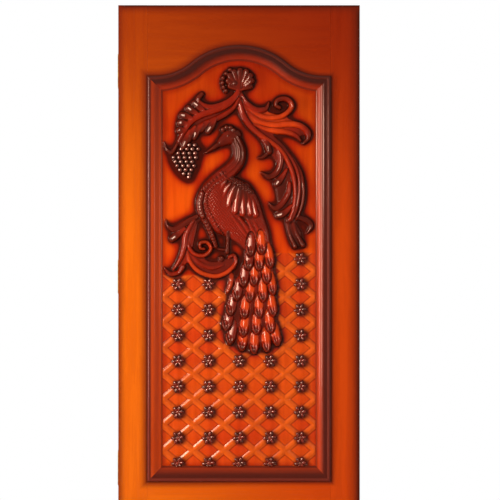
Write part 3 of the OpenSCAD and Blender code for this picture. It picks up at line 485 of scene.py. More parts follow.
def plume_section(s, t):
    """A train feather: a smooth swelling with a keel, and a fluted fan at its tip."""
    fan = smooth(0.55, 0.7, t)
    keel = np.exp(-((s + 0.2) / 0.4) ** 2)
    vane = pillow(s, 0.8) * (0.92 + 0.08 * keel)
    flutes = np.clip(1 - s ** 4, 0, 1) ** 0.5 * (0.91 + 0.09 * np.cos(s * 11))
    return vane * (1 - fan) + flutes * fan


class Carving:
    """Height of the carving over the ground of the panel, on an even grid, with what its stain needs."""

    def __init__(self, cell, relief):
        self.cell, self.relief = cell, relief
        reach = FIELD_HALF + CARVING_MARGIN
        self.x = np.arange(-FIELD_HALF - CARVING_MARGIN, reach + cell, cell)
        crown = CORNER_Z + ARCH_RISE - MOULDING_W + CARVING_MARGIN
        self.z = np.arange(FIELD_FOOT - CARVING_MARGIN, crown + cell, cell)
        self.px, self.pz = np.meshgrid(self.x, self.z)
        self.height = np.zeros(self.px.shape)
        self.tone = np.full(self.px.shape, GROUND_TONE)

    def window(self, low, high):
        c0, r0 = ((np.asarray(low) - [self.x[0], self.z[0]]) / self.cell).astype(int)
        c1, r1 = ((np.asarray(high) - [self.x[0], self.z[0]]) / self.cell).astype(int) + 2
        return slice(max(r0, 0), max(r1, 0)), slice(max(c0, 0), max(c1, 0))

    def raise_to(self, where, tall, tone, inside, lift=None):
        """Puts a form on the carving where it stands higher; with lift it takes the place of what is there,
        and keeps at least that part of the old height."""
        here, stain = self.height[where], self.tone[where]
        if lift is None:
            wins = inside & (tall > here)
        else:
            tall = np.maximum(tall, here * lift)
            wins = inside
        here[wins] = tall[wins]
        stain[wins] = tone[wins]

    def stroke(self, stroke, section, lift=None, steps=8, facet=0.0, lean=0.0):
        """Raises a ridge along a stroke; facet tilts its whole top towards the light, and lean tilts it
        across its line and lets it rise and fall with the light where it runs upright."""
        points, widths, heights, tones = stroke
        path = placed(traced(points, steps))
        n = len(path) - 1
        wide = along(widths, np.linspace(0, 1, n + 1)) * UNIT
        where = self.window(path.min(0) - wide.max(), path.max(0) + wide.max())
        px, pz = self.px[where], self.pz[where]
        near = np.full(px.shape, 9.0)
        side = np.zeros(px.shape)
        part = np.zeros(px.shape)
        tilt = np.zeros(px.shape)
        middle = path.mean(0)
        rise = np.zeros(n + 1)
        for i in range(n):
            a, d = path[i], path[i + 1] - path[i]
            slopes = glint(*a)
            square = max(d @ d, 1e-12)
            upright = (d[1] ** 2 / square) ** 2
            rise[i + 1] = rise[i] + upright * (slopes[0] * d[0] + slopes[1] * d[1])
            dx, dz = px - a[0], pz - a[1]
            f = np.clip((dx * d[0] + dz * d[1]) / square, 0, 1)
            reach = wide[i] + (wide[i + 1] - wide[i]) * f
            dx, dz = dx - f * d[0], dz - f * d[1]
            u = np.hypot(dx, dz) / reach
            closer = u < near
            near = np.where(closer, u, near)
            side = np.where(closer, np.sign(d[0] * dz - d[1] * dx), side)
            part = np.where(closer, (i + f) / n, part)
            tilt = np.where(closer, lean * (slopes[0] * dx + slopes[1] * dz), tilt)
        slopes = glint(*middle)
        tilt = tilt + facet * (slopes[0] * (px - middle[0]) + slopes[1] * (pz - middle[1]))
        rise = (rise - rise.mean()) * min(1.0, RISE_MAX / max(np.ptp(rise), 1e-9))
        tilt = tilt + lean * np.interp(part, np.linspace(0, 1, n + 1), rise)
        tall = along(heights, part) * self.relief + tilt
        tall = np.clip(tall, 0, HEIGHT_MAX * self.relief) * section(side * np.minimum(near, 1), part)
        self.raise_to(where, tall, along(tones, part), near < 1, lift)

    def bead(self, place, radius, tall, tone=0.05):
        """Raises a round bead with a cut that faces the light."""
        middle = placed([place])[0]
        r, top = radius * UNIT, tall * self.relief
        where = self.window(middle - r, middle + r)
        dx, dz = self.px[where] - middle[0], self.pz[where] - middle[1]
        round_h = min(0.9 * r, 0.8 * top)
        depth = min(0.12 * r, BEAD_CUT)
        bump = top - round_h + cut_knob(dx, dz, r, round_h, glint(*middle), depth)
        self.raise_to(where, bump, np.full(dx.shape, tone), np.hypot(dx, dz) < r)

    def fill(self, reach, part):
        """Joins neighbouring ridges to one mass at part of the relief."""
        body = blurred((self.height > 0.6 * MM).astype(float), reach / self.cell / 2)
        self.height = np.maximum(self.height, part * self.relief * smooth(0.45, 0.7, body))

    def inside(self, inset):
        """Distance in from the edge of the opening made smaller by inset."""
        top = arch_top(self.px, inset) - self.pz
        side, foot = HALF_W - inset - np.abs(self.px), self.pz - FOOT_Z - inset
        return np.minimum(np.minimum(side, foot), top * 0.85)

    def discs(self, places, radius):
        """Field that is 1 on round spots."""
        spots = np.zeros(self.px.shape)
        for middle in placed(places):
            where = self.window(middle - radius, middle + radius)
            away = np.hypot(self.px[where] - middle[0], self.pz[where] - middle[1])
            spots[where] = np.maximum(spots[where], away < radius)
        return spots


def grapes():
    return [(x + i * GRAPE_STEP, y) for y, x, n in GRAPE_ROWS for i in range(n)]


def flowers():
    return [(FLOWER_START[0] + c * FLOWER_STEP[0], FLOWER_START[1] + r * FLOWER_STEP[1])
            for c, first in enumerate(FLOWERS_FROM) for r in range(first, FLOWER_ROWS)]


def carve_leaves(work):
    for masses, strands, bulbs in ((LEAF_MASSES, LEAF_STRANDS, LEAF_BULBS),
                                   (SCROLL_MASSES, SCROLL_STRANDS, SCROLL_BULBS)):
        for stroke in masses:
            work.stroke(stroke, cushion_section)
        for stroke in strands:
            work.stroke(stroke, strand_section, lean=1.0)
        for points in bulbs:
            work.stroke((points, *BULB), bulb_section, facet=1.0)
    for bead in LEAF_BEADS:
        work.bead(*bead)
    work.fill(LEAF_GAP, LEAF_FILL)


def carve_shell(work):
    work.bead(*SHELL_BED)
    for k in range(SHELL_LOBES):
        turn = math.radians(SHELL_START - SHELL_TURN * k)
        tip_x = SHELL_MID[0] + SHELL_REACH[0] * math.cos(turn)
        tip_y = SHELL_MID[1] - SHELL_REACH[1] * math.sin(turn)
        middle = ((SHELL_FOOT[0] + tip_x) / 2, (SHELL_FOOT[1] + tip_y) / 2)
        facet = 1.0 if k in SHELL_BRIGHT else 0.0
        work.stroke(([SHELL_FOOT, middle, (tip_x, tip_y)], *SHELL_LOBE), bulb_section, facet=facet)
    for place in SHELL_BEADS:
        work.bead(place, *SHELL_BEAD)
    work.bead(*SHELL_EYE)


def carve_bird(work, gx, gy):
    for stroke in LEGS:
        work.stroke(stroke, round_section)
    work.stroke(BACK, cushion_section)
    work.stroke(BREAST, round_section)
    stipple = np.sin(gx * 2.1 + np.sin(gy * 0.9)) * np.sin(gy * 2.0 + np.sin(gx * 0.8))
    shows = smooth(*STIPPLE_TOP, gy) * (gx > STIPPLE_SIDES[0]) * (gx < STIPPLE_SIDES[1])
    shows = smooth(0.3, 0.5, work.height / work.relief) * shows * smooth(*STIPPLE_FOOT, gy)
    work.height += shows * STIPPLE_H * smooth(0.1, 0.6, stipple)
    for points in WING_COVERTS:
        work.stroke((points, *WING_COVERT), strand_section)
    work.stroke(HEAD, round_section)
    work.stroke(BEAK, round_section)
    work.stroke(NECK, neck_section, lean=1.0)
    work.stroke(BRAID_INNER, dotted_section)
    work.stroke(BRAID, braid_section, steps=14, lean=1.0)
    work.stroke(BRAID_BRIGHT, bright_braid_section, lift=0.0, facet=1.0)
    work.stroke(COLLAR, round_section)
    for place in CREST_BEADS:
        work.bead(place, *CREST_BEAD)
    work.bead(*HEAD_EYE)
    work.stroke(WING, cushion_section)
    roots, tips = np.array(WING_ROOTS, float), np.array(WING_TIPS, float)
    for i, tip in enumerate(tips):
        root = roots[0] + (roots[1] - roots[0]) * i / (len(tips) - 1)
        points = [root, root + (tip - root) * 0.5 + WING_BOW, tip]
        work.stroke((points, *WING_QUILL), quill_section, facet=1.0)
    work.stroke(SHOULDER, hatched_section)


def carve_train(work):
    work.stroke(TRAIN, cushion_section)
    for row in FEATHER_TIPS:
        for i, tip in enumerate(row):
            tip = np.array(tip, float)
            section, tones = (plume_section, PLUME_TONES) if i else (quill_section, SIDE_PLUME_TONES)
            root = tip + (FEATHER_LEAN * (TRAIN_MID - tip[0]), -FEATHER_L)
            points = [root, root + (tip - root) / 3, root + (tip - root) * 2 / 3, tip]
            work.stroke((points, PLUME_W, PLUME_H, tones), section, lift=PLUME_LIFT, facet=PLUME_FACET)
            for side in (-1, 1, 0):
                downs = (*LOBE_DOWN, 0.0 if side else LOBE_END)
                lobe = [tip + (wide * side, down) for wide, down in zip(LOBE_SIDES, downs)]
                work.stroke((lobe, *TIP_LOBE), bulb_section, facet=1.0)


def carve_lattice(work, gx, gy, rib_h, rib_w):
    """Rounded ribs on both diagonals, and pits that swell a little in the middle."""
    a = (gx - FLOWER_START[0]) / FLOWER_STEP[0]
    b = (gy - FLOWER_START[1]) / FLOWER_STEP[1]
    step = np.array([FLOWER_STEP[0] * UNIT_X, FLOWER_STEP[1] * UNIT_Z])
    wide = step[0] * step[1] / math.hypot(*step)
    off = [np.abs((v + 0.5) % 1 - 0.5) * wide for v in (a + b, a - b)]
    line = np.minimum(off[0], off[1])
    top_line = np.where(gx > LATTICE_RIGHT, *LATTICE_TOPS)
    shows = blurred((gy > top_line).astype(float), LATTICE_FADE / work.cell)
    u = np.clip(line / (rib_w / 2), 0, 1)
    rib = 1 - u ** 1.5
    swell = smooth(rib_w / 2, wide / 2, line) * PIT_SWELL
    work.height = np.maximum(work.height, (rib * rib_h + swell) * shows)
    work.gloss = shows
    work.rib = smooth(1.0, 0.72, u) * shows
    work.pit = shows - work.rib
    # Painted shade in the crease at the foot of each rib
    work.seam = np.exp(-((line - rib_w / 2) / RIB_SHADE_W) ** 2) * shows


def carve(cell, relief, rib_h, rib_w):
    """The whole carving, in the order in which a carver works: leaves, shell, bird, train and lattice."""
    work = Carving(cell, relief)
    gx = MID_LINE + work.px / UNIT_X
    gy = FOOT_LINE - (work.pz - FIELD_FOOT) / UNIT_Z
    carve_leaves(work)
    carve_shell(work)
    work.bead(*GRAPE_BED)
    carve_bird(work, gx, gy)
    carve_train(work)
    motif = (work.height > MOTIF_H).astype(float)
    carve_lattice(work, gx, gy, rib_h, rib_w)
    work.height *= smooth(*EDGE_FADE, work.inside(MOULDING_W))
    work.height = blurred(work.height, 1) * SOFTENED + work.height * (1 - SOFTENED)
    work.motif = blurred(motif, 1)
    work.tone = blurred(work.tone, 1)
    spray = np.maximum(motif, work.discs(grapes(), GRAPE_SPRAY * UNIT))
    work.spray = blurred(spray, SPRAY_REACH / cell)
    work.halo = blurred(spray, HALO_REACH / cell)
    # Spray and painted shadow of each flower, set off to its lower right
    shade = [(x + FLOWER_SHADOW_OFF[0], y + FLOWER_SHADOW_OFF[1]) for x, y in flowers()]
    work.bloom = blurred(work.discs(shade, FLOWER_SHADOW_R), FLOWER_SHADOW_REACH / cell)
    # Depth of each point below the carving round it: it carries painted shade into the hollows and a
    # painted highlight onto the crests
    around = blurred(work.height, HOLLOW_REACH / cell)
    work.hollow = np.clip((around - work.height) / HOLLOW_DEEP, -1, 1)
    work.border = np.clip(work.inside(MOULDING_W) / BORDER_W, 0, 1)
    work.kept = work.inside(HIDDEN_EDGE) > 0
    return work


def new_piece(name, verts, faces, finish, body, replaced=(), attributes=None, normals=None,
              sharp=None):
    """A piece with a new mesh in the frame of the door."""
    mesh = bpy.data.meshes.new(name)
    mesh.from_pydata([tuple(v) for v in verts], [], [tuple(int(i) for i in f) for f in faces])
    mesh.validate()
    for key, values in (attributes or {}).items():
        layer = mesh.attributes.new(key, "FLOAT", "POINT")
        layer.data.foreach_set("value", np.asarray(values, np.float32))
    mesh.polygons.foreach_set("use_smooth", [True] * len(mesh.polygons))
    if sharp is not None:
        mesh.set_sharp_from_angle(angle=sharp)
    if normals is not None:
        mesh.normals_split_custom_set_from_vertices([tuple(v) for v in normals])
    return adopt(name, mesh, finish, body, replaced)


def adopt(name, mesh, finish, body, replaced=()):
    """An object for a finished mesh, riding on a body and standing for CAD nodes."""
    piece = bpy.data.objects.new(name, mesh)
    mesh.materials.clear()
    mesh.materials.append(finish)
    bpy.context.scene.collection.objects.link(piece)
    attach(piece, body)
    if replaced:
        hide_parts(*replaced)
    return piece


class Finish:
    """Small helper that builds a node material."""

    def __init__(self, name):
        self.material = bpy.data.materials.new(name)
        self.material.use_nodes = True
        self.tree = self.material.node_tree
        self.shader = self.tree.nodes["Principled BSDF"]
        self.place = self.tree.nodes.new("ShaderNodeTexCoord").outputs["Object"]

    def node(self, kind, values=None, **settings):
        made = self.tree.nodes.new(kind)
        for key, value in settings.items():
            setattr(made, key, value)
        for key, value in (values or {}).items():
            self.feed(made.inputs[key], value)
        return made

    def feed(self, socket, value):
        if isinstance(value, bpy.types.NodeSocket):
            self.tree.links.new(value, socket)
        else:
            socket.default_value = value

    def math(self, operation, a, b=0.0):
        made = self.node("ShaderNodeMath", {0: a, 1: b}, operation=operation)
        return made.outputs[0]

    def span(self, value, low, high, from_value=0.0, to_value=1.0):
        made = self.node(
            "ShaderNodeMapRange", {"Value": value, "From Min": low, "From Max": high, "To Min": from_value,
                                   "To Max": to_value}, interpolation_type="SMOOTHSTEP")
        return made.outputs["Result"]

    def mix(self, factor, a, b, blend="MIX"):
        made = self.node("ShaderNodeMix", data_type="RGBA", blend_type=blend)
        for index, value in ((0, factor), (6, a), (7, b)):
            self.feed(made.inputs[index], value)
        return made.outputs[2]

    def attribute(self, name):
        return self.node("ShaderNodeAttribute", attribute_name=name).outputs["Fac"]

    def axes(self):
        split = self.node("ShaderNodeSeparateXYZ", {0: self.place})
        return split.outputs[0], split.outputs[1], split.outputs[2]

    def noise(self, stretch, scale, detail=3.0, rough=0.5, distortion=0.0):
        placed_at = self.node("ShaderNodeMapping", {"Vector": self.place, "Scale": stretch})
        made = self.node(
            "ShaderNodeTexNoise", {"Vector": placed_at.outputs[0], "Scale": scale, "Detail": detail,
                                   "Roughness": rough, "Distortion": distortion})
        return made.outputs["Fac"]

    def grain(self, upright):
        """Streaks along the wood and fine pores, as one value round 0.5."""
        long, short = (1.0, 14.0) if upright else (14.0, 1.0)
        stretch = (short, 10.0, long)
        streaks = self.noise(stretch, 3.0, 4.0, 0.55, 0.6)
        pores = self.noise(tuple(6 * v for v in stretch), 6.0, 2.0, 0.6)
        return self.math("ADD", self.math("MULTIPLY", streaks, 0.75), self.math("MULTIPLY", pores, 0.25))

    def darker_above(self, colour):
        """The stain gets deeper towards the top edge."""
        height = self.axes()[2]
        return self.mix(self.span(height, DEEPER_FROM, LEAF_H), colour, colours().stain_top, "MULTIPLY")

    def bump(self, height, strength, distance):
        made = self.node("ShaderNodeBump", {"Height": height, "Strength": strength, "Distance": distance})
        self.feed(self.shader.inputs["Normal"], made.outputs[0])

    def finish(self, colour, roughness, specular, metallic=0.0, tint=(1.0, 1.0, 1.0, 1.0)):
        self.feed(self.shader.inputs["Base Color"], colour)
        self.feed(self.shader.inputs["Roughness"], roughness)
        self.shader.inputs["Specular IOR Level"].default_value = specular
        self.shader.inputs["Specular Tint"].default_value = tint
        self.shader.inputs["Metallic"].default_value = metallic
        return self.material


def sizes():
    return bpy.context.scene.carved_door_sizes


def colours():
    return bpy.context.scene.carved_door_colours


def frame_finish(name, upright):
    """Lacquered frame wood: orange stain, sprayed darker at the top, the edges and beside the moulding."""
    c = colours()
    f = Finish(name)
    x, _, z = f.axes()
    side = f.math("ABSOLUTE", x)
    # Lighter towards the hinge side: partly the sunburst stain, partly painted light from the lamps on the
    # left
    colour = f.mix(f.span(x, -LEAF_HALF, LEAF_HALF), c.stain_and_light_hinge_side, c.stain_deep)
    colour = f.darker_above(colour)
    # Distance to the opening, the arch included
    flat = f.node("ShaderNodeCombineXYZ", {0: side, 1: z})

    def from_point(px, pz):
        away = f.node("ShaderNodeVectorMath", {0: flat.outputs[0], 1: (px, pz, 0.0)}, operation="DISTANCE")
        return away.outputs["Value"]
    crown = f.math("SUBTRACT", from_point(0.0, CROWN_Z), CROWN_R)
    hollow = f.math("SUBTRACT", SIDE_R, from_point(SHOULDER_X, SIDE_Z))
    in_crown = f.math("LESS_THAN", side, CROWN_R * math.sin(ARCH_TURN))
    in_hollow = f.math("LESS_THAN", side, SHOULDER_X)
    arch = f.node("ShaderNodeMix", {0: in_hollow, 2: f.math("SUBTRACT", z, CORNER_Z), 3: hollow}).outputs[0]
    arch = f.node("ShaderNodeMix", {0: in_crown, 2: arch, 3: crown}).outputs[0]
    at_top = f.math("GREATER_THAN", z, CORNER_Z - ARCH_BELOW)
    arch = f.node("ShaderNodeMix", {0: at_top, 2: -1.0, 3: arch}).outputs[0]
    away = f.math("MAXIMUM", f.math("SUBTRACT", side, HALF_W), f.math("SUBTRACT", FOOT_Z, z))
    away = f.math("MAXIMUM", away, arch)
    away = f.math("MULTIPLY", away, f.span(x, -HALF_W, HALF_W, 1.0, 1.7))
    colour = f.mix(f.span(away, 0.0, MOULDING_SPRAY, 0.85, 0.0), colour, c.stain_edge)
    colour = f.mix(f.span(away, 0.0, MOULDING_LINE, 0.7, 0.0), colour, c.dark_stain_and_shade)
    for inner, outer, near in ((LEAF_HALF - LOCK_SPRAY, LEAF_HALF, x), (LEAF_H - TOP_SPRAY, LEAF_H, z)):
        colour = f.mix(f.span(near, inner, outer, 0.0, 0.95), colour, c.stain_edge)
        colour = f.mix(f.span(near, (inner + 2 * outer) / 3, outer, 0.0, 0.85), colour, c.dark_stain_and_shade)
    colour = f.mix(f.span(x, HINGE_SPRAY - LEAF_HALF, -LEAF_HALF, 0.0, 0.8), colour, c.stain_edge)
    grain = f.grain(upright)
    colour = f.mix(f.span(grain, 0.38, 0.62, 0.22, 0.0), colour, c.stain_grain, "MULTIPLY")
    f.bump(grain, 0.05, GRAIN_DEEP)
    return f.finish(colour, f.span(grain, 0.3, 0.7, 0.3, 0.2), FRAME_GLOSS, tint=c.gloss)


def back_finish(name, upright):
    """Wood of the back: the same stain without the sprayed edges."""
    c = colours()
    f = Finish(name)
    grain = f.grain(upright)
    colour = f.mix(f.span(grain, 0.3, 0.66), c.back_dark, c.back_light)
    f.bump(grain, 0.06, GRAIN_DEEP)
    return f.finish(colour, f.span(grain, 0.3, 0.7, 0.34, 0.24), FRAME_GLOSS, tint=c.gloss)


def moulding_finish(name, upright):
    """Dark gloss lacquer on the moulding: a lighter bead, a deep red hollow and an orange foot. The hinge
    side is lighter all over, and the foot of the bottom piece darker."""
    c = colours()
    f = Finish(name)
    x, _, z = f.axes()
    grain = f.grain(upright)
    across = f.attribute("across")
    hollow, foot = c.moulding_hollow, c.moulding_foot
    if upright:
        hinge_side = f.span(x, *HINGE_SIDE, 0.0, 0.85)
        hollow = f.mix(hinge_side, hollow, c.stain_deep)
        foot = f.mix(hinge_side, foot, c.stain_deep)
    else:
        low = f.span(z, *LOW_PIECE, 0.0, 0.6)
        foot = f.mix(low, foot, hollow)
    colour = f.mix(f.span(across, *BEAD_END), c.moulding_bead, hollow)
    colour = f.mix(f.span(across, *FOOT_START), colour, foot)
    colour = f.mix(f.span(across, *FRAME_QUIRK, 0.0, 0.9), colour, c.dark_stain_and_shade)
    colour = f.mix(f.span(across, *GROUND_QUIRK, 0.0, 0.45), colour, c.dark_stain_and_shade)
    colour = f.darker_above(colour)
    colour = f.mix(f.span(grain, 0.36, 0.62, 0.2, 0.0), colour, c.stain_grain, "MULTIPLY")
    f.bump(grain, 0.04, GRAIN_DEEP)
    return f.finish(colour, f.span(grain, 0.3, 0.7, 0.22, 0.15), MOULDING_GLOSS, tint=c.gloss)


def carved_finish(name, specular):
    """Stain of the carved panel: orange ground, dark spray round the carving and the carving's tones, with
    painted shade and painted highlights.
    """
    c = colours()
    f = Finish(name)
    motif, spray, halo = f.attribute("motif"), f.attribute("spray"), f.attribute("halo")
    rib, seam, bloom = f.attribute("rib"), f.attribute("seam"), f.attribute("bloom")
    hollow, tone, border = f.attribute("hollow"), f.attribute("tone"), f.attribute("border")
    clouds = f.noise((1.0, 1.0, 1.0), 3.5, 2.0, 0.5)
    ground = f.mix(f.span(clouds, 0.35, 0.65), c.ground_red, c.ground_orange)
    ground = f.mix(f.span(border, 0.55, 0.0, 0.0, 0.6), ground, c.halo_red)
    ground = f.darker_above(ground)
    ground = f.mix(f.span(halo, 0.02, 0.32), ground, c.halo_red)
    ground = f.mix(f.math("MULTIPLY", f.attribute("pit"), 0.32), ground, c.halo_red)
    ground = f.mix(f.math("MULTIPLY", rib, 0.9), ground, c.rib_orange)
    # Painted shade along the feet of the lattice ribs
    ground = f.mix(f.math("MULTIPLY", seam, 0.55), ground, c.halo_dark_and_shade)
    ground = f.mix(f.span(spray, 0.02, 0.36), ground, c.halo_dark_and_shade)
    # Spray and painted shadow below right of each flower
    ground = f.mix(f.span(bloom, 0.05, 0.85, 0.0, 0.9), ground, c.halo_dark_and_shade)
    carved = f.mix(f.span(tone, 0.0, 0.5), c.carved_dark, c.carved_red)
    carved = f.mix(f.span(tone, 0.5, 1.0), carved, c.carved_orange)
    carved = f.mix(f.span(spray, 0.85, 0.5, 0.0, 0.55), carved, c.carved_dark)
    # Lighter crests: partly rubbed wear, partly a painted highlight
    carved = f.mix(f.span(hollow, -0.2, -0.9, 0.0, 0.1), carved, c.carved_rub_and_highlight)
    colour = f.mix(motif, ground, carved)
    # Painted shade: the hollows of the carving and the ground at its foot are darkened
    colour = f.mix(f.span(hollow, 0.1, 0.9, 0.0, 0.85), colour, c.dark_stain_and_shade)
    grain = f.grain(True)
    colour = f.mix(f.span(grain, 0.36, 0.6, 0.25, 0.0), colour, c.stain_grain, "MULTIPLY")
    f.bump(grain, 0.03, GRAIN_DEEP)
    return f.finish(colour, f.span(grain, 0.3, 0.7, 0.2, 0.13), specular, tint=c.gloss)


def knob_finish(name, dark):
    """Dark lacquer of the small carved knobs: the flowers of the lattice and the grapes."""
    c = colours()
    f = Finish(name)
    blot = f.noise((1.0, 1.0, 1.0), 60.0, 2.0)
    colour = f.mix(f.span(blot, 0.35, 0.65), c.carved_dark, c.carved_red)
    colour = f.mix(f.span(f.attribute("crest"), 0.15, 0.7, dark, 0.6 * dark), colour, c.dark_stain_and_shade)
    # Lighter tops of the knobs: partly rubbed wear, partly a painted highlight
    colour = f.mix(f.span(f.attribute("crest"), 0.5, 1.0, 0.0, 0.2), colour, c.carved_rub_and_highlight)
    f.bump(blot, 0.03, GRAIN_DEEP)
    return f.finish(colour, f.span(blot, 0.3, 0.7, 0.2, 0.12), KNOB_GLOSS, tint=c.gloss)


def metal_finish(name, bright, dull, rough):
    """Brushed metal with tarnish in patches."""
    f = Finish(name)
    blot = f.noise((1.0, 1.0, 1.0), 40.0, 4.0, 0.6)
    brush = f.noise((20.0, 1.0, 1.0), 90.0, 2.0)
    colour = f.mix(f.span(blot, 0.4, 0.65), bright, dull)
    f.bump(brush, 0.08, 0.2 * MM)
    return f.finish(colour, f.span(blot, 0.35, 0.7, rough, rough + 0.15), 0.5, 1.0)


def length_property(name, description, default):
    return FloatProperty(name=name, description=description, default=default, unit="LENGTH")


def colour_property(name, description, default):
    return FloatVectorProperty(
        name=name, description=description, subtype="COLOR", size=4, min=0, max=1, default=srgb(*default))


class CarvedDoorSizes(bpy.types.PropertyGroup):
    """Sizes that a user would change."""
    relief: length_property("Relief", "Height of the carving over its ground", 22 * MM)
    cell: length_property("Carving cell", "Spacing of the carved surface's points", 1.65 * MM)
    rib_h: length_property("Rib height", "Height of the lattice ribs", 5 * MM)
    rib_w: length_property("Rib width", "Width of the lattice ribs", 27 * MM)
    flower_r: length_property("Flower radius", "Radius of a lattice flower", 26 * MM)
    grape_r: length_property("Grape radius", "Radius of a grape", 10 * MM)
    edge: length_property("Edge", "Width of the eased edges of the frame", 0.8 * MM)


class CarvedDoorColours(bpy.types.PropertyGroup):
    """Stains and metals that a user would change."""
    # The two frame stains differ partly as stain and partly as painted light, falling off from the hinge
    # side to the lock side
    stain_and_light_hinge_side: colour_property("Light stain", "Frame stain on the hinge side", (218, 97, 8))
    stain_deep: colour_property("Deep stain", "Frame stain on the lock side", (202, 65, 4))
    stain_top: colour_property("Top stain", "Darkening of the frame towards the top edge", (184, 146, 110))
    stain_edge: colour_property("Edge stain", "Spray along the edges of the frame", (110, 26, 5))
    stain_grain: colour_property("Grain", "Darkening of the grain", (190, 120, 90))
    # Dark stain in the quirks, edges and knobs, also used as painted shade in the hollows of the carving
    dark_stain_and_shade: colour_property("Dark stain", "Stain in the quirks and hollows", (48, 9, 3))
    back_dark: colour_property("Back grain", "Grain of the wood on the back", (150, 44, 6))
    back_light: colour_property("Back stain", "Stain of the wood on the back", (206, 76, 8))
    moulding_bead: colour_property("Bead stain", "Stain on the bead of the moulding", (108, 32, 18))
    moulding_hollow: colour_property("Hollow stain", "Stain in the hollow of the moulding", (76, 11, 2))
    moulding_foot: colour_property("Foot stain", "Stain at the foot of the moulding", (184, 52, 6))
    ground_orange: colour_property("Ground orange", "Open ground of the panel", (228, 84, 6))
    ground_red: colour_property("Ground red", "Ground of the panel, redder patches", (214, 62, 4))
    halo_red: colour_property("Halo red", "Spray at some distance from the carving", (172, 32, 2))
    # Dark spray close to the carving, also used as painted shade at the rib feet and painted shadow by the
    # flowers
    halo_dark_and_shade: colour_property("Halo dark", "Spray close to the carving", (72, 10, 2))
    rib_orange: colour_property("Rib orange", "Ribs of the lattice", (214, 84, 14))
    carved_dark: colour_property("Carved dark", "Ends and thin parts of the carving", (72, 12, 3))
    carved_red: colour_property("Carved red", "Middle of the carved masses", (138, 22, 2))
    carved_orange: colour_property("Carved orange", "Open scrolls and train feathers", (206, 60, 8))
    # Rubbed tops of the carving, which also stand as a painted highlight on its crests
    carved_rub_and_highlight: colour_property("Carved rubbed", "Rubbed tops of the carving", (190, 66, 30))
    gloss: colour_property("Gloss", "Warm cast of the lacquer's reflections", (255, 208, 180))
    brass_bright: colour_property("Brass", "Clean brass of the hinges", (200, 160, 82))
    brass_dull: colour_property("Tarnish", "Tarnished brass", (128, 92, 44))
    steel_bright: colour_property("Steel", "Screw heads", (176, 172, 165))
    steel_dull: colour_property("Dull steel", "Dull steel", (110, 104, 98))


def softened(node, name, finish):
    """Copy of a CAD node with its loose triangles joined and its edges eased."""
    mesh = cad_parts[node].data.copy()
    mesh.name = name
    bm = bmesh.new()
    bm.from_mesh(mesh)
    bmesh.ops.remove_doubles(bm, verts=bm.verts, dist=1e-6)
    bmesh.ops.dissolve_limit(bm, angle_limit=math.radians(0.5), verts=bm.verts, edges=bm.edges)
    bm.to_mesh(mesh)
    bm.free()
    holder = bpy.data.objects.new(name + "_raw", mesh)
    bpy.context.scene.collection.objects.link(holder)
    bevel = holder.modifiers.new("Eased edges", "BEVEL")
    bevel.width = sizes().edge
    bevel.segments = 2
    bevel.limit_method = "ANGLE"
    bevel.angle_limit = math.radians(40)
    bevel.use_clamp_overlap = True
    done = evaluated_mesh(holder, name)
    done.set_sharp_from_angle(angle=math.radians(20))
    rounded = [max(abs(v) for v in face.normal) < 0.9999 for face in done.polygons]
    done.polygons.foreach_set("use_smooth", rounded)
    return adopt(name, done, finish, "leaf", (node,))


def evaluated_mesh(holder, name):
    """Plain mesh of an object as its modifiers give it; the object itself goes."""
    graph = bpy.context.evaluated_depsgraph_get()
    graph.update()
    done = bpy.data.meshes.new_from_object(holder.evaluated_get(graph), depsgraph=graph)
    done.name = name
    holder.modifiers.clear()
    bpy.data.objects.remove(holder)
    return done


class OBJECT_OT_door_frame(bpy.types.Operator):
    """Makes the stiles and rails with eased edges and the sprayed lacquer"""
    bl_idname = "object.carved_door_frame"
    bl_label = "Stiles and rails"

    def execute(self, context):
        upright = frame_finish("frame_lacquer_upright", True)
        level = frame_finish("frame_lacquer_level", False)
        for node, name, finish in (
            ("hinge_stile", "stile_hinge_side", upright), ("lock_stile", "stile_lock_side", upright),
            ("top_rail", "rail_arched", level), ("bottom_rail", "rail_foot", level),
        ):
            softened(node, name, finish)
        return {"FINISHED"}


def moulding_profile():
    """Outline of the moulding, as distance in from the frame and level out of the ground."""
    bead_r, face, top = 4 * MM, -FACE_Y, -FACE_Y + 12 * MM
    ground = -GROUND_Y + WOOD_GAP
    mid = (2 * bead_r, top - bead_r)
    foot = (MOULDING_W - 6 * MM, ground + 5 * MM)
    outer_turn, inner_turn = math.radians(121), math.radians(53)
    inner_l = 5.5 * MM

    def on_bead(turn):
        return (mid[0] + bead_r * math.cos(turn), mid[1] + bead_r * math.sin(turn))
    outer = on_bead(outer_turn)
    flank = (1.4 * MM, outer[1] - (outer[0] - 1.4 * MM) * 0.6)
    points = [(WOOD_GAP, ground), (WOOD_GAP, face + 0.6 * MM), (0.6 * MM, face + 1.2 * MM),
              (0.8 * MM, flank[1] - 1.2 * MM), (1.0 * MM, flank[1] - 0.5 * MM), flank]
    points += [on_bead(turn) for turn in np.linspace(outer_turn, inner_turn, 9)]
    drop, run = inner_l * math.cos(inner_turn), inner_l * math.sin(inner_turn)
    inner = (points[-1][0] + run, points[-1][1] - drop)
    points.append(inner)
    start = inner[0] + 0.5 * MM
    for t in np.linspace(0, 1, 25):
        sweep = (1 - math.cos(math.pi * t ** 1.4)) / 2
        points.append((start + t * (foot[0] - start), inner[1] + sweep * (foot[1] - inner[1])))
    points += [(foot[0] + 0.2 * MM, foot[1] - 2.2 * MM), (foot[0] + 0.6 * MM, foot[1] - 2.5 * MM),
               (MOULDING_W - 0.5 * MM, ground + 2.5 * MM), (MOULDING_W, ground + 2.0 * MM),
               (MOULDING_W, ground)]
    return points


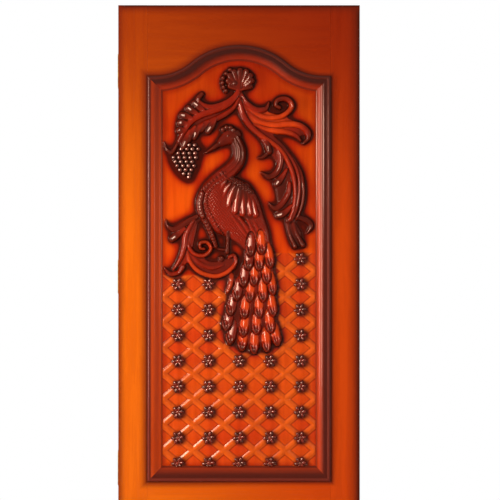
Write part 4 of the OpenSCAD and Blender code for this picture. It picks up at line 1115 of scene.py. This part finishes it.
def mitre_point(u):
    """Where the arched and the left moulding meet, u in from the frame."""
    if u <= HALF_W - SHOULDER_X:
        return (-HALF_W + u, CORNER_Z - u)
    reach = u - (HALF_W - SHOULDER_X)
    return (-HALF_W + u, SIDE_Z - math.sqrt((SIDE_R + u) ** 2 - reach ** 2))


def arch_line(u, steps=16):
    """Left half and right half of a line u in from the arched edge, with as many points for every u."""
    start = max(0.0, math.asin(max(0.0, u - (HALF_W - SHOULDER_X)) / (SIDE_R + u)))
    half = [mitre_point(u)]
    for i in range(steps + 1):
        turn = start + (ARCH_TURN - start) * max(i, 0.03) / steps
        half.append((-SHOULDER_X + (SIDE_R + u) * math.sin(turn), SIDE_Z - (SIDE_R + u) * math.cos(turn)))
    for i in range(1, 2 * steps):
        turn = -ARCH_TURN + ARCH_TURN * i / (2 * steps)
        half.append(((CROWN_R - u) * math.sin(turn), CROWN_Z + (CROWN_R - u) * math.cos(turn)))
    crown = [(0.0, CROWN_Z + CROWN_R - u)]
    return half + crown + [(-px, pz) for px, pz in reversed(half)]


def band(low, high, n):
    """Faces between two rings of n points, which start at low and high."""
    return [(low + j, low + (j + 1) % n, high + (j + 1) % n, high + j) for j in range(n)]


def capped(n, rings):
    """Faces of a closed shape of rings with n points each."""
    faces = [face for i in range(rings - 1) for face in band(n * i, n * (i + 1), n)]
    return faces + [tuple(range(n - 1, -1, -1)), tuple(n * (rings - 1) + j for j in range(n))]


def swept(lines, levels):
    """Closed sweep: one line of (x, z) for each profile point, at its level towards the front."""
    n, count = len(lines), len(lines[0])
    verts = [(lines[j][i][0], -levels[j], lines[j][i][1]) for i in range(count) for j in range(n)]
    return verts, capped(n, count)


def outward(verts, faces):
    """Turns all faces round if the closed shape is inside out."""
    v = np.asarray(verts, float)
    volume = 0.0
    for f in faces:
        for a, b in zip(f[1:-1], f[2:]):
            volume += np.dot(v[f[0]], np.cross(v[a], v[b]))
    return faces if volume > 0 else [tuple(reversed(f)) for f in faces]


class OBJECT_OT_door_mouldings(bpy.types.Operator):
    """Makes the four lengths of moulding round the carved field"""
    bl_idname = "object.carved_door_mouldings"
    bl_label = "Mouldings"

    def execute(self, context):
        profile = moulding_profile()
        us, levels = [p[0] for p in profile], [p[1] for p in profile]
        left = [[(-HALF_W + u, FOOT_Z + u), mitre_point(u)] for u in us]
        runs = {
            "left": left,
            "right": [[(-px, pz) for px, pz in line] for line in left],
            "bottom": [[(-HALF_W + u, FOOT_Z + u), (HALF_W - u, FOOT_Z + u)] for u in us],
            "arch": [arch_line(u) for u in us],
        }
        upright = moulding_finish("moulding_lacquer_upright", True)
        level = moulding_finish("moulding_lacquer_level", False)
        for side, lines in runs.items():
            verts, faces = swept(lines, levels)
            across = [u / MOULDING_W for _ in range(len(lines[0])) for u in us]
            finish = upright if side in ("left", "right") else level
            new_piece(
                "moulding_" + side + "_run", verts, outward(verts, faces), finish, "leaf",
                ("moulding_" + side,), {"across": across}, sharp=math.radians(50))
        return {"FINISHED"}


def opening(grow, steps=16):
    """Outline of the frame opening, moved outwards by grow, as a closed loop."""
    half = [(HALF_W + grow, CORNER_Z + grow)]
    for i in range(steps + 1):
        turn = ARCH_TURN * i / steps
        r = SIDE_R - grow
        half.append((SHOULDER_X - r * math.sin(turn), SIDE_Z - r * math.cos(turn)))
    for i in range(1, 2 * steps):
        turn = ARCH_TURN - ARCH_TURN * i / (2 * steps)
        half.append(((CROWN_R + grow) * math.sin(turn), CROWN_Z + (CROWN_R + grow) * math.cos(turn)))
    loop = [(HALF_W + grow, FOOT_Z - grow)] + half + [(0.0, CROWN_Z + CROWN_R + grow)]
    return loop + [(-px, pz) for px, pz in reversed(half)] + [(-HALF_W - grow, FOOT_Z - grow)]


class OBJECT_OT_door_panel(bpy.types.Operator):
    """Makes the board of the panel, with its tongue, and the carved surface on its front"""
    bl_idname = "object.carved_door_panel"
    bl_label = "Carved panel"

    def execute(self, context):
        s = sizes()
        work = carve(s.cell, s.relief, s.rib_h, s.rib_w)
        finishes = [carved_finish("panel_ground", GROUND_GLOSS),
                    carved_finish("lattice_lacquer", LATTICE_GLOSS),
                    carved_finish("carved_lacquer", CARVED_GLOSS)]
        self.board()
        rows = len(work.z)
        names = ("carving_foot", "carving_lattice", "carving_bird", "carving_crown")
        cuts = [(rows - 1) * i // len(names) for i in range(len(names) + 1)]
        slope_z, slope_x = np.gradient(work.height, s.cell)
        normal = np.stack([-slope_x, -np.ones_like(slope_x), -slope_z], -1)
        normal /= np.linalg.norm(normal, axis=-1, keepdims=True)
        for name, low, high in zip(names, cuts[:-1], cuts[1:]):
            self.surface(name, work, normal, low, high, finishes)
        return {"FINISHED"}

    def board(self):
        """The plain board, with the tongue that sits in the groove of the frame."""
        tongue, tongue_back, tongue_front, front = 12.2 * MM, 9 * MM, -3 * MM, -5.4 * MM
        loops = [(-WOOD_GAP, BACK_Y), (-WOOD_GAP, tongue_back), (tongue, tongue_back),
                 (tongue, tongue_front), (-WOOD_GAP, tongue_front), (-WOOD_GAP, front)]
        verts = [(px, y, pz) for grow, y in loops for px, pz in opening(grow)]
        faces = capped(len(verts) // len(loops), len(loops))
        new_piece("panel_board", verts, outward(verts, faces), back_finish("panel_wood", True), "leaf",
                  ("carved_panel",), sharp=math.radians(30))

    def border(self, faces):
        """Edges that only one face has, and the loop of points that they make."""
        edges = {}
        for face in faces:
            for p, q in zip(face, face[1:] + face[:1]):
                if (q, p) in edges:
                    del edges[(q, p)]
                else:
                    edges[(p, q)] = True
        follows = dict(edges.keys())
        loop = [next(iter(follows))]
        while follows[loop[-1]] != loop[0]:
            loop.append(follows[loop[-1]])
        return list(edges), loop

    def surface(self, name, work, normal, low, high, finishes):
        """One closed piece of the carved surface, between two rows of its grid."""
        rows = slice(low, high + 1)
        kept = work.kept[rows]
        cells = kept[:-1, :-1] & kept[1:, :-1] & kept[:-1, 1:] & kept[1:, 1:]
        used = np.zeros(kept.shape, bool)
        for dr in (0, 1):
            for dc in (0, 1):
                used[dr:dr + cells.shape[0], dc:dc + cells.shape[1]] |= cells
        number = np.full(kept.shape, -1)
        count = int(used.sum())
        number[used] = np.arange(count)
        px, pz, h = work.px[rows][used], work.pz[rows][used], work.height[rows][used]
        front = np.stack([px, GROUND_Y - h, pz], -1)
        a, b = number[:-1, :-1][cells], number[:-1, 1:][cells]
        c, d = number[1:, 1:][cells], number[1:, :-1][cells]
        faces = np.stack([a, b, c, d], -1).tolist()
        edges, loop = self.border(faces)
        rim = {p: count + i for i, p in enumerate(loop)}
        faces += [(q, p, rim[p], rim[q]) for p, q in edges]
        faces.append(tuple(rim[p] for p in reversed(loop)))
        back = front[loop]
        back[:, 1] = SURFACE_BACK
        values = {}
        for key in ("motif", "tone", "spray", "halo", "rib", "pit", "seam", "bloom", "hollow", "border"):
            field = getattr(work, key)[rows][used]
            values[key] = np.concatenate([field, np.zeros(len(loop))])
        normals = np.vstack([normal[rows][used], np.tile((0.0, 1.0, 0.0), (len(loop), 1))])
        piece = new_piece(name, np.vstack([front, back]), faces, finishes[0], "leaf",
                          ("carved_panel",), values, normals)
        kind = np.where(work.motif[rows] > 0.3, 2, np.where(work.gloss[rows] > 0.5, 1, 0))
        kinds = np.zeros(len(faces), np.int32)
        kinds[:int(cells.sum())] = np.maximum(kind[:-1, :-1], kind[1:, 1:])[cells]
        for finish in finishes[1:]:
            piece.data.materials.append(finish)
        piece.data.polygons.foreach_set("material_index", kinds)


def scatter_tree(name):
    """Node tree that sets one shape on every point, a little larger or smaller by a fixed seed."""
    tree = bpy.data.node_groups.new(name, "GeometryNodeTree")
    sockets = {}
    for label, kind in (("Places", "Geometry"), ("Shape", "Object"), ("Size", "Float"), ("Spread", "Float"),
                        ("Finish", "Material")):
        sockets[label] = tree.interface.new_socket(label, in_out="INPUT", socket_type="NodeSocket" + kind)
    tree.interface.new_socket("Geometry", in_out="OUTPUT", socket_type="NodeSocketGeometry")
    make, link = tree.nodes.new, tree.links.new
    given, result = make("NodeGroupInput"), make("NodeGroupOutput")
    shape = make("GeometryNodeObjectInfo")
    link(given.outputs["Shape"], shape.inputs["Object"])
    low, high = make("ShaderNodeMath"), make("ShaderNodeMath")
    low.operation, high.operation = "SUBTRACT", "ADD"
    for edge in (low, high):
        link(given.outputs["Size"], edge.inputs[0])
        link(given.outputs["Spread"], edge.inputs[1])
    spread = make("FunctionNodeRandomValue")
    spread.data_type = "FLOAT"
    spread.inputs["Seed"].default_value = SCATTER_SEED
    link(low.outputs[0], spread.inputs[2])
    link(high.outputs[0], spread.inputs[3])
    sown = make("GeometryNodeInstanceOnPoints")
    link(given.outputs["Places"], sown.inputs["Points"])
    link(shape.outputs["Geometry"], sown.inputs["Instance"])
    link(spread.outputs[1], sown.inputs["Scale"])
    real, coat = make("GeometryNodeRealizeInstances"), make("GeometryNodeSetMaterial")
    link(sown.outputs[0], real.inputs[0])
    link(real.outputs[0], coat.inputs["Geometry"])
    link(given.outputs["Finish"], coat.inputs["Material"])
    link(coat.outputs[0], result.inputs[0])
    return tree, sockets


def scattered(name, places, shape, spread, finish):
    """Plain mesh of a shape set on all places."""
    mesh = bpy.data.meshes.new(name + "_places")
    mesh.from_pydata([tuple(p) for p in places], [], [])
    holder = bpy.data.objects.new(name + "_places", mesh)
    bpy.context.scene.collection.objects.link(holder)
    tree, sockets = scatter_tree(name + "_tree")
    sow = holder.modifiers.new("Sown", "NODES")
    sow.node_group = tree
    for label, value in (("Shape", shape), ("Size", 1.0), ("Spread", spread), ("Finish", finish)):
        sow[sockets[label].identifier] = value
    done = evaluated_mesh(holder, name)
    bpy.data.objects.remove(shape)
    return done


def round_shape(name, rings, spokes, radius_at, height_at):
    """Closed knob on the ground, facing the front: rings and spokes round its middle."""
    verts = [(0.0, -height_at(0.0, 0.0), 0.0)]
    crest = [1.0]
    for i in range(1, rings + 1):
        for j in range(spokes):
            turn = 2 * math.pi * j / spokes
            part = i / rings
            r = part * radius_at(turn)
            h = height_at(part, turn)
            verts.append((r * math.cos(turn), -h, r * math.sin(turn)))
            crest.append(max(0.0, 1 - part))
    faces = [(0, 1 + j, 1 + (j + 1) % spokes) for j in range(spokes)]
    for i in range(rings - 1):
        a, b = 1 + i * spokes, 1 + (i + 1) * spokes
        faces += [(a + j, b + j, b + (j + 1) % spokes, a + (j + 1) % spokes) for j in range(spokes)]
    rim = 1 + (rings - 1) * spokes
    foot = len(verts)
    verts += [(verts[rim + j][0], KNOB_BACK, verts[rim + j][2]) for j in range(spokes)]
    crest += [0.0] * spokes
    faces += [(rim + j, foot + j, foot + (j + 1) % spokes, rim + (j + 1) % spokes) for j in range(spokes)]
    faces.append(tuple(foot + j for j in range(spokes)))
    mesh = bpy.data.meshes.new(name)
    mesh.from_pydata(verts, [], outward(verts, faces))
    layer = mesh.attributes.new("crest", "FLOAT", "POINT")
    layer.data.foreach_set("value", np.asarray(crest, np.float32))
    mesh.polygons.foreach_set("use_smooth", [True] * len(mesh.polygons))
    shape = bpy.data.objects.new(name, mesh)
    bpy.context.scene.collection.objects.link(shape)
    return shape


class OBJECT_OT_door_flowers(bpy.types.Operator):
    """Sets a six-petalled flower on every second crossing of the lattice"""
    bl_idname = "object.carved_door_flowers"
    bl_label = "Lattice flowers"

    def execute(self, context):
        s = sizes()
        ring, boss = FLOWER_RING * s.flower_r, FLOWER_BOSS * s.flower_r
        long, slim = PETAL_LONG * s.flower_r, PETAL_SLIM * s.flower_r
        sixth = math.pi / 3
        slopes = glint(0.0, LATTICE_MID_Z)

        def petal_offset(turn):
            return (turn - FLOWER_TURN + sixth / 2) % sixth - sixth / 2

        def radius_at(turn):
            off = petal_offset(turn)
            a = (math.cos(off) / long) ** 2 + (math.sin(off) / slim) ** 2
            b = ring * math.cos(off) / long ** 2
            return (b + math.sqrt(max(0.0, b * b - a * ((ring / long) ** 2 - 1)))) / a

        def height_at(part, turn):
            axis = turn - petal_offset(turn)
            r = part * radius_at(turn)
            px, pz = r * math.cos(turn), r * math.sin(turn)
            u = r * math.cos(turn - axis) - ring
            v = r * math.sin(turn - axis) * long / slim
            lean_u = slopes[0] * math.cos(axis) + slopes[1] * math.sin(axis)
            lean_v = (slopes[1] * math.cos(axis) - slopes[0] * math.sin(axis)) * slim / long
            petal = cut_knob(u, v, long, PETAL_H, (lean_u, lean_v), PETAL_CUT)
            return s.rib_h + float(max(petal, cut_knob(px, pz, boss, BOSS_H, slopes, BOSS_CUT), 0.0))

        shape = round_shape("flower_shape", rings=12, spokes=72, radius_at=radius_at, height_at=height_at)
        places = [(px, GROUND_Y, pz) for px, pz in placed(flowers())]
        finish = knob_finish("flower_lacquer", dark=0.45)
        done = scattered("lattice_flowers", places, shape, FLOWER_SPREAD, finish)
        self.trim(done)
        adopt("lattice_flowers", done, finish, "leaf", ("carved_panel",))
        return {"FINISHED"}

    def trim(self, mesh):
        """Cuts the lowest row off at the foot of the field, where the moulding covers it."""
        bm = bmesh.new()
        bm.from_mesh(mesh)
        cut = bmesh.ops.bisect_plane(
            bm, geom=list(bm.verts) + list(bm.edges) + list(bm.faces), dist=1e-6,
            plane_co=(0, 0, FIELD_FOOT), plane_no=(0, 0, -1), clear_outer=True)
        edges = [e for e in cut["geom_cut"] if isinstance(e, bmesh.types.BMEdge)]
        bmesh.ops.edgenet_fill(bm, edges=edges)
        bmesh.ops.recalc_face_normals(bm, faces=bm.faces)
        bm.to_mesh(mesh)
        bm.free()


class OBJECT_OT_door_grapes(bpy.types.Operator):
    """Sets the grapes on their bunch"""
    bl_idname = "object.carved_door_grapes"
    bl_label = "Grapes"

    def execute(self, context):
        s = sizes()
        slopes = glint(*placed(grapes()).mean(0))

        def height_at(part, turn):
            r = part * s.grape_r
            dx, dz = r * math.cos(turn), r * math.sin(turn)
            return GRAPE_RISE + float(cut_knob(dx, dz, s.grape_r, GRAPE_H, slopes, GRAPE_CUT))

        shape = round_shape("grape_shape", rings=9, spokes=24, radius_at=lambda turn: s.grape_r,
                            height_at=height_at)
        places = [(px, GROUND_Y, pz) for px, pz in placed(grapes())]
        finish = knob_finish("grape_lacquer", dark=0.95)
        done = scattered("grapes", places, shape, GRAPE_SPREAD, finish)
        adopt("grapes", done, finish, "leaf", ("carved_panel",))
        return {"FINISHED"}


class OBJECT_OT_door_fittings(bpy.types.Operator):
    """Gives the back beads, hinges and screws their finishes"""
    bl_idname = "object.carved_door_fittings"
    bl_label = "Back beads and hinges"

    def execute(self, context):
        c = colours()
        upright, level = back_finish("bead_wood_upright", True), back_finish("bead_wood_level", False)
        brass = metal_finish("hinge_brass", c.brass_bright, c.brass_dull, rough=0.28)
        steel = metal_finish("screw_steel", c.steel_bright, c.steel_dull, rough=0.32)
        for name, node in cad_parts.items():
            if name.startswith("back_bead"):
                finish = level if name.endswith(("bottom", "arch")) else upright
            elif name.endswith("_screws"):
                finish = steel
            elif "_hinge_" in name:
                finish = brass
            else:
                continue
            node.data.materials.clear()
            node.data.materials.append(finish)
        return {"FINISHED"}


class OBJECT_OT_door_stage(bpy.types.Operator):
    """Sets up the floor, the white surroundings, the lamps and the camera"""
    bl_idname = "object.carved_door_stage"
    bl_label = "Stage"

    def execute(self, context):
        self.floor()
        self.surroundings()
        for lamp in LAMPS:
            self.lamp(*lamp)
        self.camera()
        context.scene.view_settings.view_transform = "Standard"
        return {"FINISHED"}

    def floor(self):
        f = Finish("stage_floor")
        shade = f.noise((1.0, 1.0, 1.0), 2.0, 2.0)
        f.finish(f.mix(f.span(shade, 0.3, 0.7), srgb(236, 236, 234), srgb(244, 244, 242)), 0.7, 0.1)
        x, y, _ = f.axes()
        rim = f.math("SUBTRACT", FLOOR_HALF, f.math("ABSOLUTE", x))
        rim = f.math("MINIMUM", rim, f.math("SUBTRACT", y, FLOOR_FRONT))
        rim = f.math("MINIMUM", rim, f.math("MULTIPLY", f.math("SUBTRACT", FLOOR_BACK, y), BACK_FADE))
        seen = f.node("ShaderNodeLightPath").outputs["Is Camera Ray"]
        white = f.node("ShaderNodeEmission", {"Color": (1.0, 1.0, 1.0, 1.0), "Strength": 1.0})
        blend = f.node("ShaderNodeMixShader", {0: f.math("MULTIPLY", seen, f.span(rim, *FLOOR_FADE))})
        f.tree.links.new(f.shader.outputs[0], blend.inputs[1])
        f.tree.links.new(white.outputs[0], blend.inputs[2])
        f.tree.links.new(blend.outputs[0], f.tree.nodes["Material Output"].inputs["Surface"])
        mesh = bpy.data.meshes.new("floor")
        corners = [(-FLOOR_HALF, FLOOR_FRONT, 0.0), (FLOOR_HALF, FLOOR_FRONT, 0.0),
                   (FLOOR_HALF, FLOOR_BACK, 0.0), (-FLOOR_HALF, FLOOR_BACK, 0.0)]
        mesh.from_pydata(corners, [], [(0, 1, 2, 3)])
        mesh.materials.append(f.material)
        floor = bpy.data.objects.new("floor", mesh)
        bpy.context.scene.collection.objects.link(floor)

    def surroundings(self):
        world = bpy.data.worlds.new("surroundings")
        bpy.context.scene.world = world
        world.use_nodes = True
        tree = world.node_tree
        back = tree.nodes["Background"]
        rays = tree.nodes.new("ShaderNodeLightPath")
        seen = rays.outputs["Is Camera Ray"]
        for name in ("Is Glossy Ray", "Is Transmission Ray"):
            larger = tree.nodes.new("ShaderNodeMath")
            larger.operation = "MAXIMUM"
            tree.links.new(seen, larger.inputs[0])
            tree.links.new(rays.outputs[name], larger.inputs[1])
            seen = larger.outputs[0]
        level = tree.nodes.new("ShaderNodeMapRange")
        level.inputs["To Min"].default_value = AMBIENT
        level.inputs["To Max"].default_value = 1.0
        tree.links.new(seen, level.inputs["Value"])
        tree.links.new(level.outputs["Result"], back.inputs["Strength"])
        back.inputs["Color"].default_value = (1, 1, 1, 1)

    def lamp(self, name, place, aim, width, height, power):
        light = bpy.data.lights.new(name, "AREA")
        light.shape, light.size, light.size_y, light.energy = "RECTANGLE", width, height, power
        holder = bpy.data.objects.new(name, light)
        holder.location = place
        holder.rotation_euler = (Vector(aim) - Vector(place)).to_track_quat("-Z", "Y").to_euler()
        bpy.context.scene.collection.objects.link(holder)

    def camera(self):
        """Straight in front, with the leaf's foot below the picture as in the photograph."""
        lens = bpy.data.cameras.new("camera")
        lens.sensor_fit = "HORIZONTAL"
        lens.angle = 2 * math.atan(VIEW_WIDE / 2 / VIEW_AWAY)
        holder = bpy.data.objects.new("camera", lens)
        holder.location = VIEW_PLACE
        holder.rotation_euler = (math.pi / 2, 0, 0)
        bpy.context.scene.collection.objects.link(holder)
        bpy.context.scene.camera = holder


OPERATORS = (OBJECT_OT_door_stage, OBJECT_OT_door_frame, OBJECT_OT_door_mouldings, OBJECT_OT_door_panel,
             OBJECT_OT_door_flowers, OBJECT_OT_door_grapes, OBJECT_OT_door_fittings)


class VIEW3D_PT_carved_door(bpy.types.Panel):
    """Sizes, colours and steps of the carved door"""
    bl_idname = "VIEW3D_PT_carved_door"
    bl_label = "Carved door"
    bl_space_type = "VIEW_3D"
    bl_region_type = "UI"
    bl_category = "Carved door"

    def draw(self, context):
        for group in (context.scene.carved_door_sizes, context.scene.carved_door_colours):
            for key in group.__annotations__:
                self.layout.prop(group, key)
        for operator in OPERATORS:
            self.layout.operator(operator.bl_idname)


CLASSES = (CarvedDoorSizes, CarvedDoorColours) + OPERATORS + (VIEW3D_PT_carved_door,)


def register():
    for cls in CLASSES:
        bpy.utils.register_class(cls)
    bpy.types.Scene.carved_door_sizes = PointerProperty(type=CarvedDoorSizes)
    bpy.types.Scene.carved_door_colours = PointerProperty(type=CarvedDoorColours)


def unregister():
    del bpy.types.Scene.carved_door_colours
    del bpy.types.Scene.carved_door_sizes
    for cls in reversed(CLASSES):
        bpy.utils.unregister_class(cls)


def main():
    register()
    bpy.ops.object.carved_door_stage()
    bpy.ops.object.carved_door_frame()
    bpy.ops.object.carved_door_mouldings()
    bpy.ops.object.carved_door_panel()
    bpy.ops.object.carved_door_flowers()
    bpy.ops.object.carved_door_grapes()
    bpy.ops.object.carved_door_fittings()


if __name__ == "__main__":
    main()
